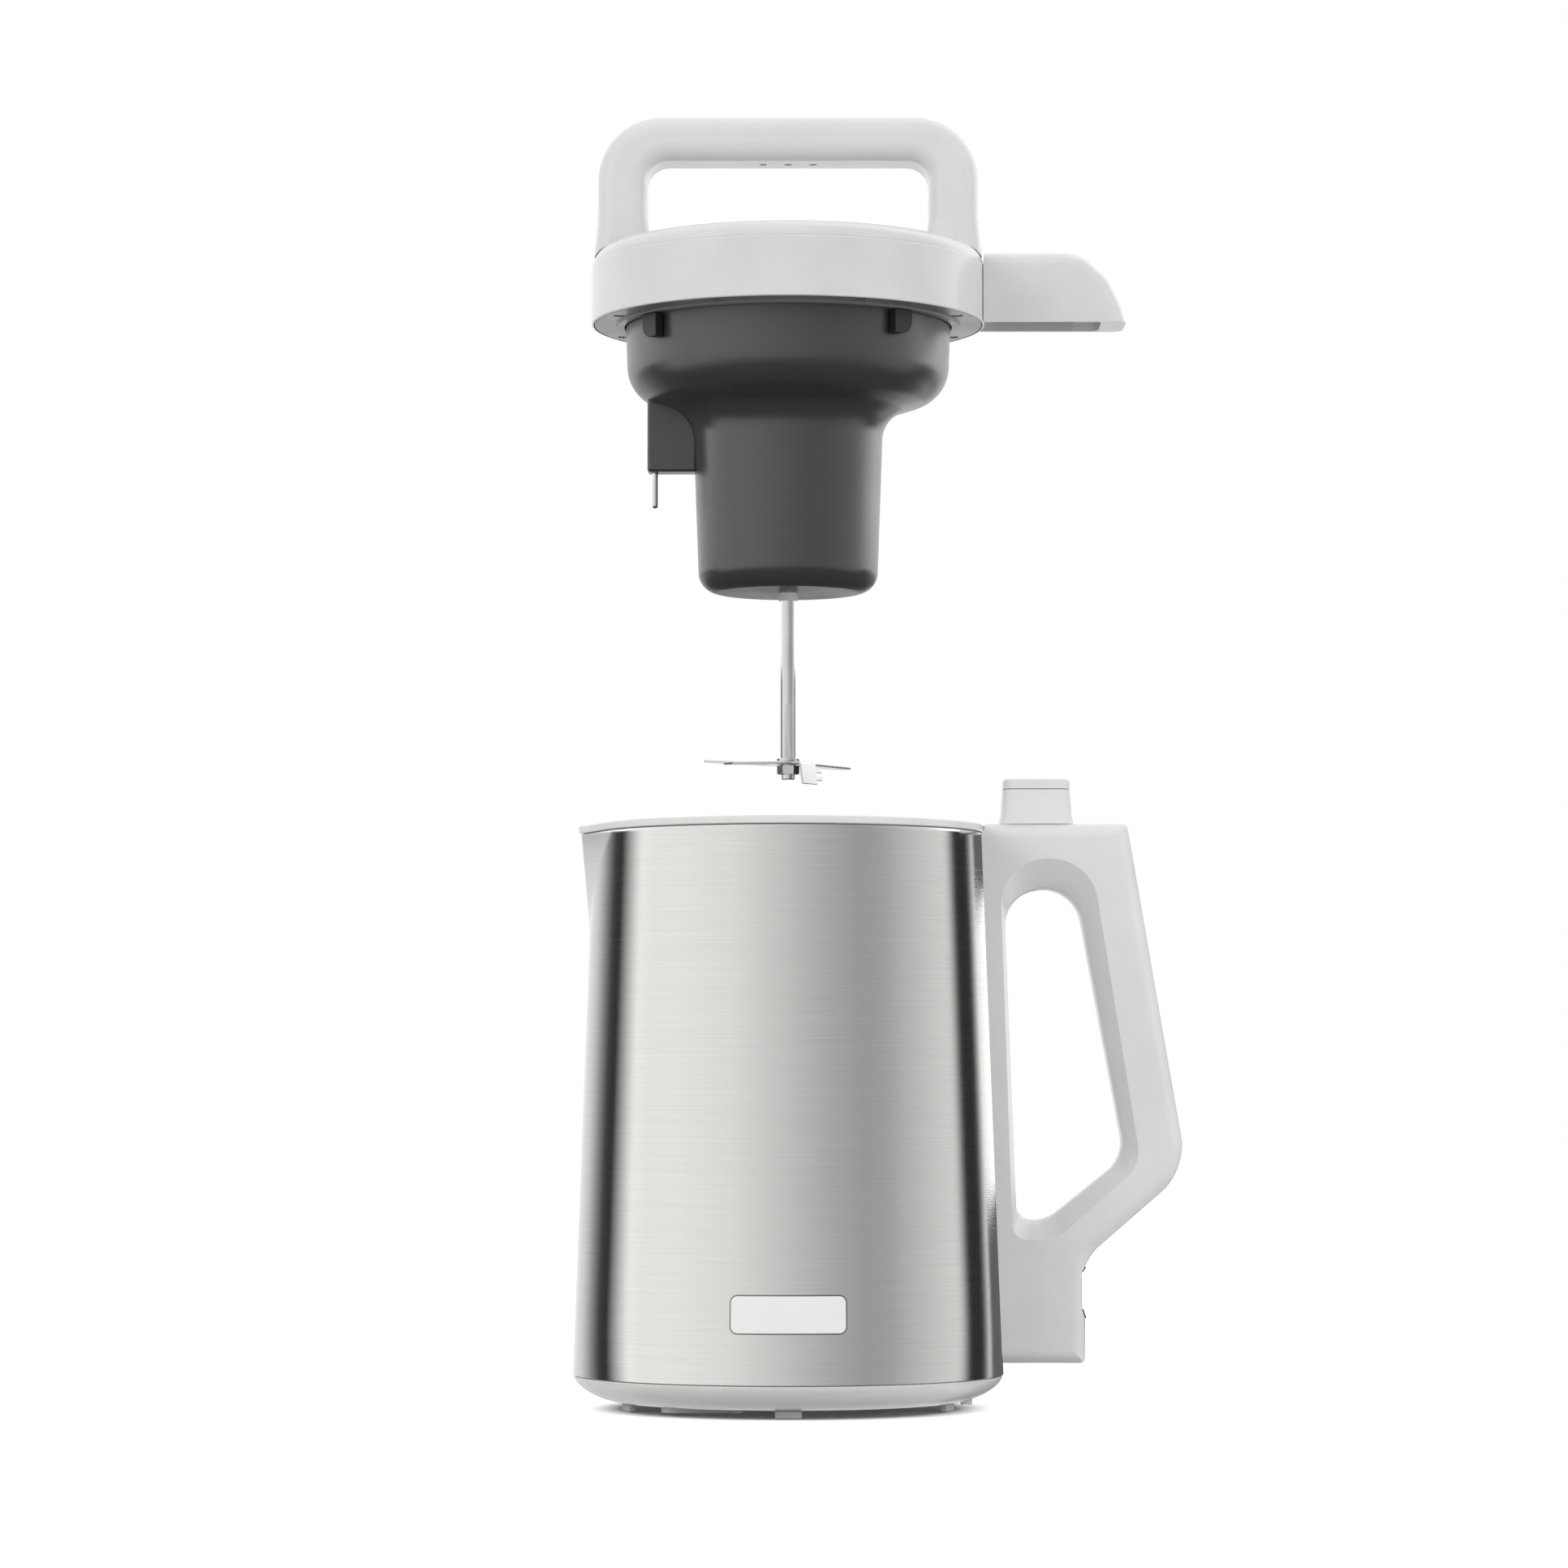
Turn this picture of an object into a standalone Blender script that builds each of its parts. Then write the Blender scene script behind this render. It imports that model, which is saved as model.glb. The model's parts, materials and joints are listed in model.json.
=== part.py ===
"""Heated blender (soup maker): a double-walled steel jug, and its motor head lifted off it.

Run with: blender --background --python part.py
Metres, +Z up, standing on the floor at z = 0, spout towards -X and handle towards +X.
The jug's pieces are measured from the jug's axis and the floor. The head's pieces are
measured from the same axis and the lower edge of the lid, which an empty holds up.
"""

import math

import bmesh
import bpy
from mathutils import Matrix, Vector

# Clearances and mesh settings
GAP = 0.0003
RUNNING_GAP = 0.0001
PLUG_GAP = 0.0004
OVERRUN = 0.004
WELD = 0.000001
LEAST_CORNER = 0.0002
WALL_STEPS = 44
ROUND_STEPS = 36
SMALL_STEPS = 16
TINY_STEPS = 12
CORNER_STEPS = 5
EDGE_STEPS = 3
PLAIN_CORNER_STEPS = 2
SMOOTH_ANGLE = math.radians(36)

# Jug wall and spout
JUG_BASE_RADIUS = 0.0825
JUG_TOP_SHARE = 0.9079
JUG_TOP_RADIUS = JUG_BASE_RADIUS * JUG_TOP_SHARE
SEAM_HEIGHT = 0.0130
STEEL_TOP = 0.2197
STEEL_WALL = 0.0010
SPOUT_FOOT = 0.1820
SPOUT_REACH = 0.0051
SPOUT_HALF_ANGLE = math.radians(27)
LEAST_CREASE = math.radians(1.5)
SPOUT_RISES = 5
SPOUT_COLUMN_SHARES = (-1, -0.66, -0.33, -0.06, 0.06, 0.33, 0.66, 1)

# Rim ring
RIM_HEIGHT = 0.0032
RIM_OVERHANG = 0.0009
RIM_LAND = 0.0052
RIM_EDGE = 0.0007
RIM_SKIRT = 0.0045
RIM_SKIRT_WALL = 0.0016
RIM_TOP = STEEL_TOP + RIM_HEIGHT
RIM_RADIUS = JUG_TOP_RADIUS + RIM_OVERHANG
MOUTH_RADIUS = RIM_RADIUS - RIM_LAND

# Inner bowl
BOWL_WALL = 0.0008
JACKET_SPACE = 0.0022
BOWL_FLOOR = 0.0240
BOWL_FLOOR_INSET = 0.0105
BOWL_CORNER = 0.0120
BOWL_TOP_RADIUS = JUG_TOP_RADIUS - STEEL_WALL - JACKET_SPACE
BOWL_FLOOR_RADIUS = JUG_BASE_RADIUS - BOWL_FLOOR_INSET

# Base cover, its pads and feet
FOOT_HEIGHT = 0.0030
FOOT_LENGTH = 0.0100
FOOT_WIDTH = 0.0028
FOOT_INSET = 0.0191
FOOT_CORNER = 0.0008
FOOT_COUNT = 5
FOOT_FIRST_ANGLE = math.radians(-90)
BASE_WALL = 0.0024
BASE_LIP = 0.0004
BASE_CURVE_WIDTH = 0.0165
BASE_CURVE_STEPS = 6
BASE_CURVE_POWER = 1.25
SPIGOT_HEIGHT = 0.0040
SPIGOT_WALL = 0.0020
PAD_LENGTH = 0.0305
PAD_WIDTH = 0.0220
PAD_HEIGHT = 0.0021
PAD_CORNER = 0.0060
PAD_PLACE_SHARES = (-0.391, -0.436)
BOSS_LENGTH = 0.0045
BOSS_WIDTH = 0.0050
BOSS_HEIGHT = 0.0006
BOSS_CORNER = 0.0010
BOSS_PLACE_SHARES = (0.82, -0.2)

# Heater under the bowl
HEATER_PLATE_INSET = 0.0148
HEATER_PLATE_HEIGHT = 0.0030
HEATER_EDGE = 0.0008
ELEMENT_RING_INSET = 0.0130
ELEMENT_RADIUS = 0.0031
ELEMENT_HALF_GAP = math.radians(24)
ELEMENT_POINTS = 28
ELEMENT_RESOLUTION = 2
THERMOSTAT_RADIUS = 0.0085
THERMOSTAT_FLANGE = 0.0016
THERMOSTAT_HEIGHT = 0.0062
THERMOSTAT_FLANGE_HEIGHT = 0.0014
FUSE_LENGTH = 0.0150
FUSE_WIDTH = 0.0060
FUSE_HEIGHT = 0.0048
FUSE_OFFSET = 0.0220
FUSE_CORNER = 0.0020

# Jug handle, measured outwards from the steel wall
HANDLE_RISE = 0.0003
HANDLE_TOP = RIM_TOP + HANDLE_RISE
HANDLE_HALF_WIDTH = 0.0140
HANDLE_EDGE = 0.0052
HANDLE_SINK = 0.0180
HANDLE_TOP_DEPTH = 0.0552
HANDLE_TOP_CORNER = 0.0015
HANDLE_ELBOW_DEPTH = 0.0729
HANDLE_ELBOW_HEIGHT = 0.0911
HANDLE_ELBOW_CORNER = 0.0220
HANDLE_ROOT_DEPTH = 0.0327
HANDLE_ROOT_HEIGHT = 0.0573
HANDLE_ROOT_CORNER = 0.0130
HANDLE_FACE_DEPTH = 0.0308
HANDLE_BOTTOM = 0.0174
HANDLE_BOTTOM_CORNER = 0.0020
GRIP_WALL = 0.0072
GRIP_BOTTOM = 0.0718
GRIP_BOTTOM_LENGTH = 0.0115
GRIP_ELBOW_DEPTH = 0.0495
GRIP_ELBOW_HEIGHT = 0.0958
GRIP_TOP = 0.1982
GRIP_TOP_LENGTH = 0.0274
GRIP_HEEL_CORNER = 0.0060
GRIP_TOE_CORNER = 0.0120
GRIP_ELBOW_CORNER = 0.0130
GRIP_ARCH_CORNER = 0.0140
FLARE_DEPTH = 0.0056
FLARE_SIDE = 0.0056
FLARE_WALL = 0.0020
FLARE_TOP = 0.0115
FLARE_BOTTOM = 0.0075
FLARE_ARCH_CORNER = 0.0175

# Cap in the underside of the handle
END_CAP_MARGIN = 0.0050
END_CAP_HEIGHT = 0.0020
END_CAP_RECESS = 0.0006
END_CAP_CORNER = 0.0030

# Trough across the handle's lower face, and the mains inlet in it
TROUGH_DEPTH = 0.0012
TROUGH_HEIGHT = 0.0141
TROUGH_CENTRE_HEIGHT = 0.0450
TROUGH_LOW_SPREAD = 2.76
TROUGH_TOP_SPREAD = 1.76
INLET_HEIGHT = 0.0156
INLET_WIDTH = 0.0250
INLET_DEPTH = 0.0190
INLET_CORNER = 0.0030
INLET_WALL = 0.0010
INLET_FLOOR = 0.0035
PIN_LENGTH = 0.0110
PIN_THICKNESS = 0.0020
PIN_WIDTH = 0.0040
PIN_SPACING = 0.0070
EARTH_OFFSET = 0.0040

# Plug-in post on the handle, which feeds the head
POST_SETBACK = 0.0079
POST_LENGTH = 0.0255
POST_WIDTH = 0.0190
POST_CORNER = 0.0040
POST_HEIGHT = 0.0134
POST_FLARE = 0.0007
POST_DRAFT = 0.0007
POST_FLARE_HEIGHT = 0.0032
POST_WALL = 0.0018
POST_FLOOR = 0.0024
POST_CAP_HEIGHT = 0.0037
POST_CAP_EDGE = 0.0008
SOCKET_RADIUS = 0.0027
SOCKET_MARGIN = 0.00025
SOCKET_SPACING = POST_LENGTH / 2 - POST_WALL - SOCKET_RADIUS - SOCKET_MARGIN
SOCKET_FLOOR = 0.0016
CONTACT_PIN_RADIUS = 0.0015
CONTACT_COUNT = 3

# Head above the jug, as it stands lifted off
HEAD_HEIGHT = 0.4170
BAND_OVERHANG = 0.0004
BAND_RADIUS = RIM_RADIUS + BAND_OVERHANG
BAND_HEIGHT = 0.0228
BAND_WALL = 0.0026
BAND_EDGE = 0.0006
LID_SHOULDER = 0.0080
LID_SHOULDER_HEIGHT = 0.0063
LID_CROWN = 0.0020
LID_WALL = 0.0022
LID_CURVE_STEPS = 4
LID_CROWN_STEPS = 3

# Flange plate round the motor housing
FLANGE_HEIGHT = 0.0023
FLANGE_MARGIN = 0.0008
FLANGE_RIDGE = 0.0034
FLANGE_RIDGE_HEIGHT = 0.0010
GASKET_HEIGHT = 0.0010
GASKET_WIDTH = 0.0030

# Motor housing, downwards from the flange
COLLAR_SHARE = 0.8268
COLLAR_RADIUS = BAND_RADIUS * COLLAR_SHARE
COLLAR_TAPER = 0.0007
COLLAR_DEPTH = 0.0161
COLLAR_CORNER_SHARE = 0.238
COLLAR_CORNER = COLLAR_RADIUS * COLLAR_CORNER_SHARE
SHELF_SLOPE = math.radians(18)
SHELF_FILLET_SHARE = 0.2063
SHELF_FILLET = COLLAR_RADIUS * SHELF_FILLET_SHARE
SHELF_STEPS = 4
INNER_SHELF_STEPS = 2
BARREL_SHARE = 0.479
BARREL_TAPER = 0.0018
BARREL_CORNER = 0.0080
HOUSING_DEPTH = 0.1039
HOUSING_WALL = 0.0024
HOUSING_LIP = 0.0040
HOUSING_LIP_HEIGHT = 0.0020
BARREL_RADIUS = BAND_RADIUS * BARREL_SHARE
BARREL_END_RADIUS = BARREL_RADIUS - BARREL_TAPER

# Level sensor fin and its probe
FIN_REACH_SHARE = 0.4904
FIN_REACH = BARREL_RADIUS * FIN_REACH_SHARE
FIN_BOTTOM = 0.0572
FIN_HALF_WIDTH = 0.0055
FIN_EDGE = 0.0018
FIN_CORNER = 0.0012
PROBE_RADIUS = 0.00115
PROBE_LENGTH = 0.0138
PROBE_INSET = 0.0029
PROBE_SEAT = 0.0050

# Locating tabs on the collar
TAB_WIDTH = 0.0086
TAB_DEPTH = 0.0034
TAB_HEIGHT = 0.0090
TAB_CORNER = 0.0048
LEFT_TAB_ANGLE = math.radians(-142.5)
RIGHT_TAB_ANGLE = math.radians(-49.0)

# Plug-in arm over the handle
ARM_HALF_WIDTH = 0.0140
ARM_EDGE = 0.0050
ARM_TOP = 0.0270
ARM_REACH = 0.0542
ARM_SINK = 0.0120
ARM_NOSE_LENGTH = 0.0180
ARM_NOSE_SHARES = ((0.87, 0.27), (0.6, 0.64), (0, 1))
ARM_NOSE_CORNER = 0.0130
ARM_WALL = 0.0023
ARM_CLEARANCE = 0.0022
ARM_CAVITY_CORNER = 0.0030
CONNECTOR_HEIGHT = 0.0054
CONNECTOR_MARGIN = 0.0030
CONNECTOR_CORNER = 0.0020
CONTACT_PIN_LENGTH = 0.0097

# Carry handle on the lid
CARRY_SETBACK = 0.0027
CARRY_HALF_SPAN = BAND_RADIUS - CARRY_SETBACK
CARRY_HALF_WIDTH = 0.0140
CARRY_EDGE = 0.0068
CARRY_LEG = 0.0189
CARRY_BAR = 0.0169
CARRY_TOP = 0.0803
CARRY_OUTER_CORNER = 0.0245
CARRY_INNER_CORNER = 0.0085
CARRY_FOOT_HEIGHT = 0.0410
CARRY_FOOT_FLARE = 0.0021
CARRY_FOOT_TOE = 0.0036
CARRY_FOOT_CORNER = 0.0080
CARRY_STEPS = 5

# Control panel in the top of the carry handle, with its board and buttons
PANEL_END_MARGIN = 0.0070
PANEL_LENGTH = 2 * (CARRY_HALF_SPAN - CARRY_OUTER_CORNER - PANEL_END_MARGIN)
PANEL_WIDTH = 0.0170
PANEL_CORNER = 0.0040
PANEL_THICKNESS = 0.0017
PANEL_SET_BACK = 0.0003
PANEL_LEDGE = 0.0022
POCKET_DEPTH = 0.0090
BOARD_MARGIN = 0.0006
BOARD_THICKNESS = 0.0014
BUTTON_COUNT = 3
BUTTON_SPACING_SHARE = 0.2857
BUTTON_SPACING = PANEL_LENGTH * BUTTON_SPACING_SHARE
BUTTON_LENGTH_SHARE = 0.1429
BUTTON_LENGTH = PANEL_LENGTH * BUTTON_LENGTH_SHARE
BUTTON_WIDTH = 0.0080
BUTTON_CORNER = 0.0036
BUTTON_TRAVEL = 0.0012
BUTTON_FLANGE = 0.0008
BUTTON_FLANGE_HEIGHT = 0.0012
BUTTON_STEM_INSET = 0.0026
BUTTON_CROWN = 0.0005

# Power board in the lid
POWER_BOARD_LENGTH_SHARE = 1.74
POWER_BOARD_WIDTH_SHARE = 1.05
POWER_BOARD_THICKNESS = 0.0016
POWER_BOARD_CORNER = 0.0020
COMPONENT_SIZES = ((0.0240, 0.0200, 0.0120), (0.0190, 0.0150, 0.0100))
COMPONENT_PLACE_SHARES = ((0.3, -0.12), (-0.34, 0.16))
COMPONENT_CORNER = 0.0015

# Motor
BUFFER_HEIGHT = 0.0028
CAN_CLEARANCE = 0.0030
MOTOR_RADIUS = BARREL_END_RADIUS - HOUSING_WALL - CAN_CLEARANCE
BUFFER_WIDTH_SHARE = 0.273
BUFFER_WIDTH = MOTOR_RADIUS * BUFFER_WIDTH_SHARE
CAN_WALL = 0.0014
CAN_HEIGHT = 0.0520
BEARING_SHARE = 0.273
BEARING_RADIUS = MOTOR_RADIUS * BEARING_SHARE
BEARING_HEIGHT = 0.0050
STATOR_RISE = 0.0110
STATOR_HEIGHT = 0.0300
STATOR_WIDTH_SHARE = 0.3345
STATOR_WIDTH = MOTOR_RADIUS * STATOR_WIDTH_SHARE
AIR_GAP = 0.0006
BELL_HEIGHT = 0.0036
WINDING_HEIGHT = 0.0030
WINDING_INSET_SHARE = 0.1365
WINDING_INSET = MOTOR_RADIUS * WINDING_INSET_SHARE
COMMUTATOR_SHARE = 0.29
COMMUTATOR_RADIUS = MOTOR_RADIUS * COMMUTATOR_SHARE
COMMUTATOR_HEIGHT = 0.0064
BRUSH_WIDTH = 0.0050
BRUSH_HEIGHT = 0.0045
BRUSH_CORNER = 0.0006
FAN_GAP = 0.0020
FAN_PLATE = 0.0014
FAN_HEIGHT = 0.0090
FAN_HUB_SHARE = 0.222
FAN_HUB_RADIUS = MOTOR_RADIUS * FAN_HUB_SHARE
FAN_SHARE = 0.836
FAN_RADIUS = MOTOR_RADIUS * FAN_SHARE
FAN_BLADES = 6
FAN_BLADE_ANGLE = math.radians(4)

# Shaft, blade and their fastening
SHAFT_RADIUS = 0.0030
SHAFT_REACH = 0.0724
SHAFT_TOP_RISE = 0.0030
SHAFT_SHOULDER = 0.0638
SHAFT_NECK_RADIUS = 0.0026
SHAFT_CHAMFER = 0.0004
BUSH_WALL = 0.0006
BUSH_DROP = 0.0030
BUSH_RISE = 0.0009
WASHER_RADIUS = 0.0045
WASHER_HEIGHT = 0.0012
BLADE_THICKNESS = 0.0010
BLADE_REACH = 0.0390
BLADE_ROOT = 0.0052
BLADE_TIP_HALF = 0.0030
BLADE_SWEEP = 0.0022
BLADE_BEND = 0.0080
STUB_REACH = 0.0180
STUB_BEND_REACH = 0.0096
STUB_HALF_WIDTH = 0.0046
STUB_TIP = 0.0016
TOOTH_COUNT = 2
TOOTH_DEPTH = 0.0036
TOOTH_WIDTH = 0.0018
TOOTH_PITCH = 0.0030
WING_ANGLES = (math.radians(143), math.radians(53), math.radians(-127))
WING_BENDS = (math.radians(-4.5), math.radians(0), math.radians(3.5))
STUB_ANGLE = math.radians(-37)
STUB_BEND = math.radians(82)
NUT_FLATS = 0.0074
NUT_HEIGHT = 0.0035
NUT_CORNERS = 6


def clear_scene():
    for thing in list(bpy.data.objects):
        bpy.data.objects.remove(thing, do_unlink=True)


def finish(name, colour, roughness, metallic=0.0):
    """A plain Principled material."""
    material = bpy.data.materials.new(name)
    material.use_nodes = True
    shader = material.node_tree.nodes["Principled BSDF"]
    shader.inputs["Base Color"].default_value = (*colour, 1)
    shader.inputs["Roughness"].default_value = roughness
    shader.inputs["Metallic"].default_value = metallic
    return material


def make_finishes():
    return {
        "white": finish("white_plastic", (0.72, 0.72, 0.71), 0.38),
        "band": finish("lid_white", (0.70, 0.70, 0.69), 0.36),
        "brushed": finish("brushed_steel", (0.62, 0.60, 0.57), 0.32, 1.0),
        "bright": finish("bright_steel", (0.74, 0.74, 0.73), 0.18, 1.0),
        "dark": finish("dark_grey_plastic", (0.085, 0.085, 0.088), 0.5),
        "black": finish("black_plastic", (0.012, 0.012, 0.013), 0.42),
        "grey": finish("flange_grey", (0.42, 0.42, 0.41), 0.45),
        "glossy": finish("panel_gloss", (0.02, 0.02, 0.024), 0.12),
        "button": finish("button_white", (0.66, 0.66, 0.65), 0.4),
        "rubber": finish("grey_rubber", (0.5, 0.5, 0.5), 0.75),
        "seal": finish("seal_rubber", (0.1, 0.1, 0.1), 0.8),
        "aluminium": finish("cast_aluminium", (0.55, 0.55, 0.56), 0.45, 1.0),
        "element": finish("element_steel", (0.3, 0.29, 0.28), 0.5, 1.0),
        "brass": finish("contact_brass", (0.62, 0.45, 0.18), 0.3, 1.0),
        "insulator": finish("inlet_black", (0.02, 0.02, 0.02), 0.55),
        "board": finish("circuit_board", (0.03, 0.16, 0.07), 0.5),
        "motor": finish("motor_steel", (0.4, 0.4, 0.42), 0.35, 1.0),
        "core": finish("motor_laminations", (0.2, 0.2, 0.22), 0.5, 1.0),
        "copper": finish("rotor_copper", (0.6, 0.28, 0.14), 0.35, 1.0),
        "carbon": finish("brush_carbon", (0.05, 0.05, 0.05), 0.8),
        "nylon": finish("bush_nylon", (0.8, 0.8, 0.78), 0.4),
    }


def piece(name, bm, material, parent, place=(0, 0, 0), turn=0.0):
    """Make the shape an object under its parent, turned about its own upright axis."""
    bmesh.ops.recalc_face_normals(bm, faces=bm.faces)
    mesh = bpy.data.meshes.new(name)
    bm.to_mesh(mesh)
    bm.free()
    mesh.materials.append(material)
    mesh.shade_smooth()
    mesh.set_sharp_from_angle(angle=SMOOTH_ANGLE)
    thing = bpy.data.objects.new(name, mesh)
    bpy.context.scene.collection.objects.link(thing)
    thing.parent = parent
    thing.location = place
    thing.rotation_euler.z = turn
    return thing


def combine(target, bm, operation, name, place=(0, 0, 0), turn=0.0):
    """Cut a helper shape from the target, or join it to the target."""
    helper = piece(f"{target.name}_{name}", bm, target.data.materials[0], target.parent, place, turn)
    helper.hide_render = True
    helper.display_type = "WIRE"
    boolean = target.modifiers.new(name, "BOOLEAN")
    boolean.operation = operation
    boolean.solver = "EXACT"
    boolean.object = helper


def axis_empty(name, parent, place):
    """A bare frame that holds pieces, such as a joint's axis."""
    empty = bpy.data.objects.new(name, None)
    bpy.context.scene.collection.objects.link(empty)
    empty.parent = parent
    empty.location = place
    return empty


def arc(centre, radius, start, end, steps):
    """Points of a round stretch from one angle to another."""
    angles = [start + (end - start) * step / steps for step in range(steps + 1)]
    return [(centre[0] + radius * math.cos(a), centre[1] + radius * math.sin(a)) for a in angles]


def turned(section, steps=ROUND_STEPS, closed=False):
    """Spin a section of (radius, height) points about the upright axis."""
    bm = bmesh.new()
    points = [bm.verts.new((radius, 0, height)) for radius, height in section]
    edges = [bm.edges.new(pair) for pair in zip(points, points[1:])]
    if closed:
        edges.append(bm.edges.new((points[-1], points[0])))
    bmesh.ops.spin(
        bm, geom=points + edges, axis=(0, 0, 1), cent=(0, 0, 0), angle=math.tau, steps=steps, use_merge=True
    )
    bmesh.ops.remove_doubles(bm, verts=bm.verts, dist=WELD)
    return bm


def disc(radius, low, high, steps=SMALL_STEPS):
    return turned([(0, high), (radius, high), (radius, low), (0, low)], steps)


def tube(outer, inner, low, high, steps=ROUND_STEPS):
    section = [(outer, high), (outer, low), (inner, low), (inner, high)]
    return turned(section, steps, closed=True)


def outline(corners, grow=0.0, steps=CORNER_STEPS):
    """Round the (across, up, radius) corners of a counter-clockwise outline, moved outwards by grow."""
    spots = [Vector(corner[:2]) for corner in corners]
    sides = [(after - spot).normalized() for spot, after in zip(spots, spots[1:] + spots[:1])]
    points = []
    for spot, before, after, corner in zip(spots, sides[-1:] + sides, sides, corners):
        turn = math.atan2(before.cross(after), before.dot(after))
        bulge = math.copysign(1, turn)
        outwards = Vector((before.y + after.y, -before.x - after.x))
        moved = spot + outwards * grow / (1 + before.dot(after))
        radius = max(corner[2] + bulge * grow, LEAST_CORNER)
        start = moved - before * radius * math.tan(abs(turn) / 2)
        arm = Vector((before.y, -before.x)) * radius * bulge
        parts = steps if corner[2] > LEAST_CORNER else 1
        for part in range(parts + 1):
            points.append(start - arm + Matrix.Rotation(turn * part / parts, 2) @ arm)
    return points


def box_corners(length, width, radius, across=0.0, up=0.0):
    """Corners of an upright rectangle about a centre."""
    left, right, low, high = across - length / 2, across + length / 2, up - width / 2, up + width / 2
    return [(left, low, radius), (right, low, radius), (right, high, radius), (left, high, radius)]


PLANES = {
    "plan": lambda across, up, out: (across, up, out),
    "front": lambda across, up, out: (across, out, up),
    "side": lambda across, up, out: (out, across, up),
}


def lofted(layers, plane):
    """Skin a row of outlines with equal point counts, each (distance, points), and close both ends."""
    bm = bmesh.new()
    place = PLANES[plane]
    rings = [[bm.verts.new(place(*point, distance)) for point in points] for distance, points in layers]
    for lower, upper in zip(rings, rings[1:]):
        for i in range(len(lower)):
            bm.faces.new((lower[i - 1], lower[i], upper[i], upper[i - 1]))
    bm.faces.new(rings[0])
    bm.faces.new(rings[-1])
    return bm


def slab(corners, low, high, plane, grow=0.0, steps=CORNER_STEPS):
    """A straight prism over an outline."""
    points = outline(corners, grow, steps)
    return lofted([(low, points), (high, points)], plane)


def stepped(corners, layers, plane, steps=CORNER_STEPS):
    """A prism whose outline grows or shrinks at the given (distance, growth) layers."""
    return lofted([(distance, outline(corners, grow, steps)) for distance, grow in layers], plane)


def soft_slab(corners, half_width, edge, plane, steps=CORNER_STEPS):
    """A prism about the middle plane, with its two outer edges rounded."""
    angles = [math.pi / 2 * step / EDGE_STEPS for step in range(EDGE_STEPS + 1)]
    near = [(edge * (1 - math.cos(a)) - half_width, edge * (math.sin(a) - 1)) for a in angles]
    far = [(-distance, grow) for distance, grow in reversed(near)]
    return stepped(corners, near + far, plane, steps)


def jug_radius(height):
    """Outside radius of the steel wall, which leans in evenly from the base to the rim."""
    share = (height - SEAM_HEIGHT) / (STEEL_TOP - SEAM_HEIGHT)
    return JUG_BASE_RADIUS + (JUG_TOP_RADIUS - JUG_BASE_RADIUS) * share


def bowl_radius(height):
    """Outside radius of the bowl between its rounded corner and its top."""
    low = BOWL_FLOOR + BOWL_CORNER
    share = (height - low) / (STEEL_TOP - low)
    return BOWL_FLOOR_RADIUS + (BOWL_TOP_RADIUS - BOWL_FLOOR_RADIUS) * share


def spouted_point(radius, height, column):
    """Place of a wall's column: on the circle, or on the V drawn out of it towards -X near the rim."""
    if radius == 0:
        return (0, 0, height)
    growth = min(max((height - SPOUT_FOOT) / (STEEL_TOP - SPOUT_FOOT), 0), 1)
    crease = max(SPOUT_HALF_ANGLE * growth, LEAST_CREASE)
    tip = radius + SPOUT_REACH * growth
    last = len(SPOUT_COLUMN_SHARES) - 1
    reach = radius
    if column > last:
        angle = crease + (math.tau - 2 * crease) * (column - last) / (WALL_STEPS - last)
    else:
        angle = crease * SPOUT_COLUMN_SHARES[column]
        aside = abs(angle)
        reach *= tip * math.sin(crease) / (tip * math.sin(aside) + radius * math.sin(crease - aside))
    return (-reach * math.cos(angle), -reach * math.sin(angle), height)


def spouted(section, closed=False):
    """Carry a section of (radius, height) points round the jug, drawing out the spout."""
    bm = bmesh.new()
    columns = [
        [bm.verts.new(spouted_point(radius, height, column)) for radius, height in section]
        for column in range(WALL_STEPS)
    ]
    for left, right in zip(columns, columns[1:] + columns[:1]):
        for i in range(0 if closed else 1, len(section)):
            bm.faces.new((left[i - 1], left[i], right[i], right[i - 1]))
    bmesh.ops.remove_doubles(bm, verts=bm.verts, dist=WELD)
    return bm


def spout_heights(top):
    """Levels up the spout, close enough for its slanting creases."""
    return [SPOUT_FOOT + (top - SPOUT_FOOT) * rise / SPOUT_RISES for rise in range(SPOUT_RISES + 1)]


def make_jug_wall(root, finishes):
    levels = [SEAM_HEIGHT] + spout_heights(STEEL_TOP)
    outside = [(jug_radius(level), level) for level in levels]
    inside = [(radius - STEEL_WALL, level) for radius, level in reversed(outside)]
    piece("jug_shell", spouted(outside + inside, closed=True), finishes["brushed"], root)


def make_rim_ring(root, finishes):
    low = STEEL_TOP + GAP
    skirt_outer = JUG_TOP_RADIUS - STEEL_WALL - GAP
    skirt_inner = skirt_outer - RIM_SKIRT_WALL
    section = [
        (RIM_RADIUS - RIM_EDGE, low),
        (RIM_RADIUS, low + RIM_EDGE),
        (RIM_RADIUS, RIM_TOP - RIM_EDGE),
        (RIM_RADIUS - RIM_EDGE, RIM_TOP),
        (MOUTH_RADIUS + RIM_EDGE, RIM_TOP),
        (MOUTH_RADIUS, RIM_TOP - RIM_EDGE),
        (MOUTH_RADIUS, low),
        (skirt_inner, low),
        (skirt_inner, low - RIM_SKIRT),
        (skirt_outer, low - RIM_SKIRT),
        (skirt_outer, low),
    ]
    piece("rim_ring", spouted(section, closed=True), finishes["white"], root)


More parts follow.
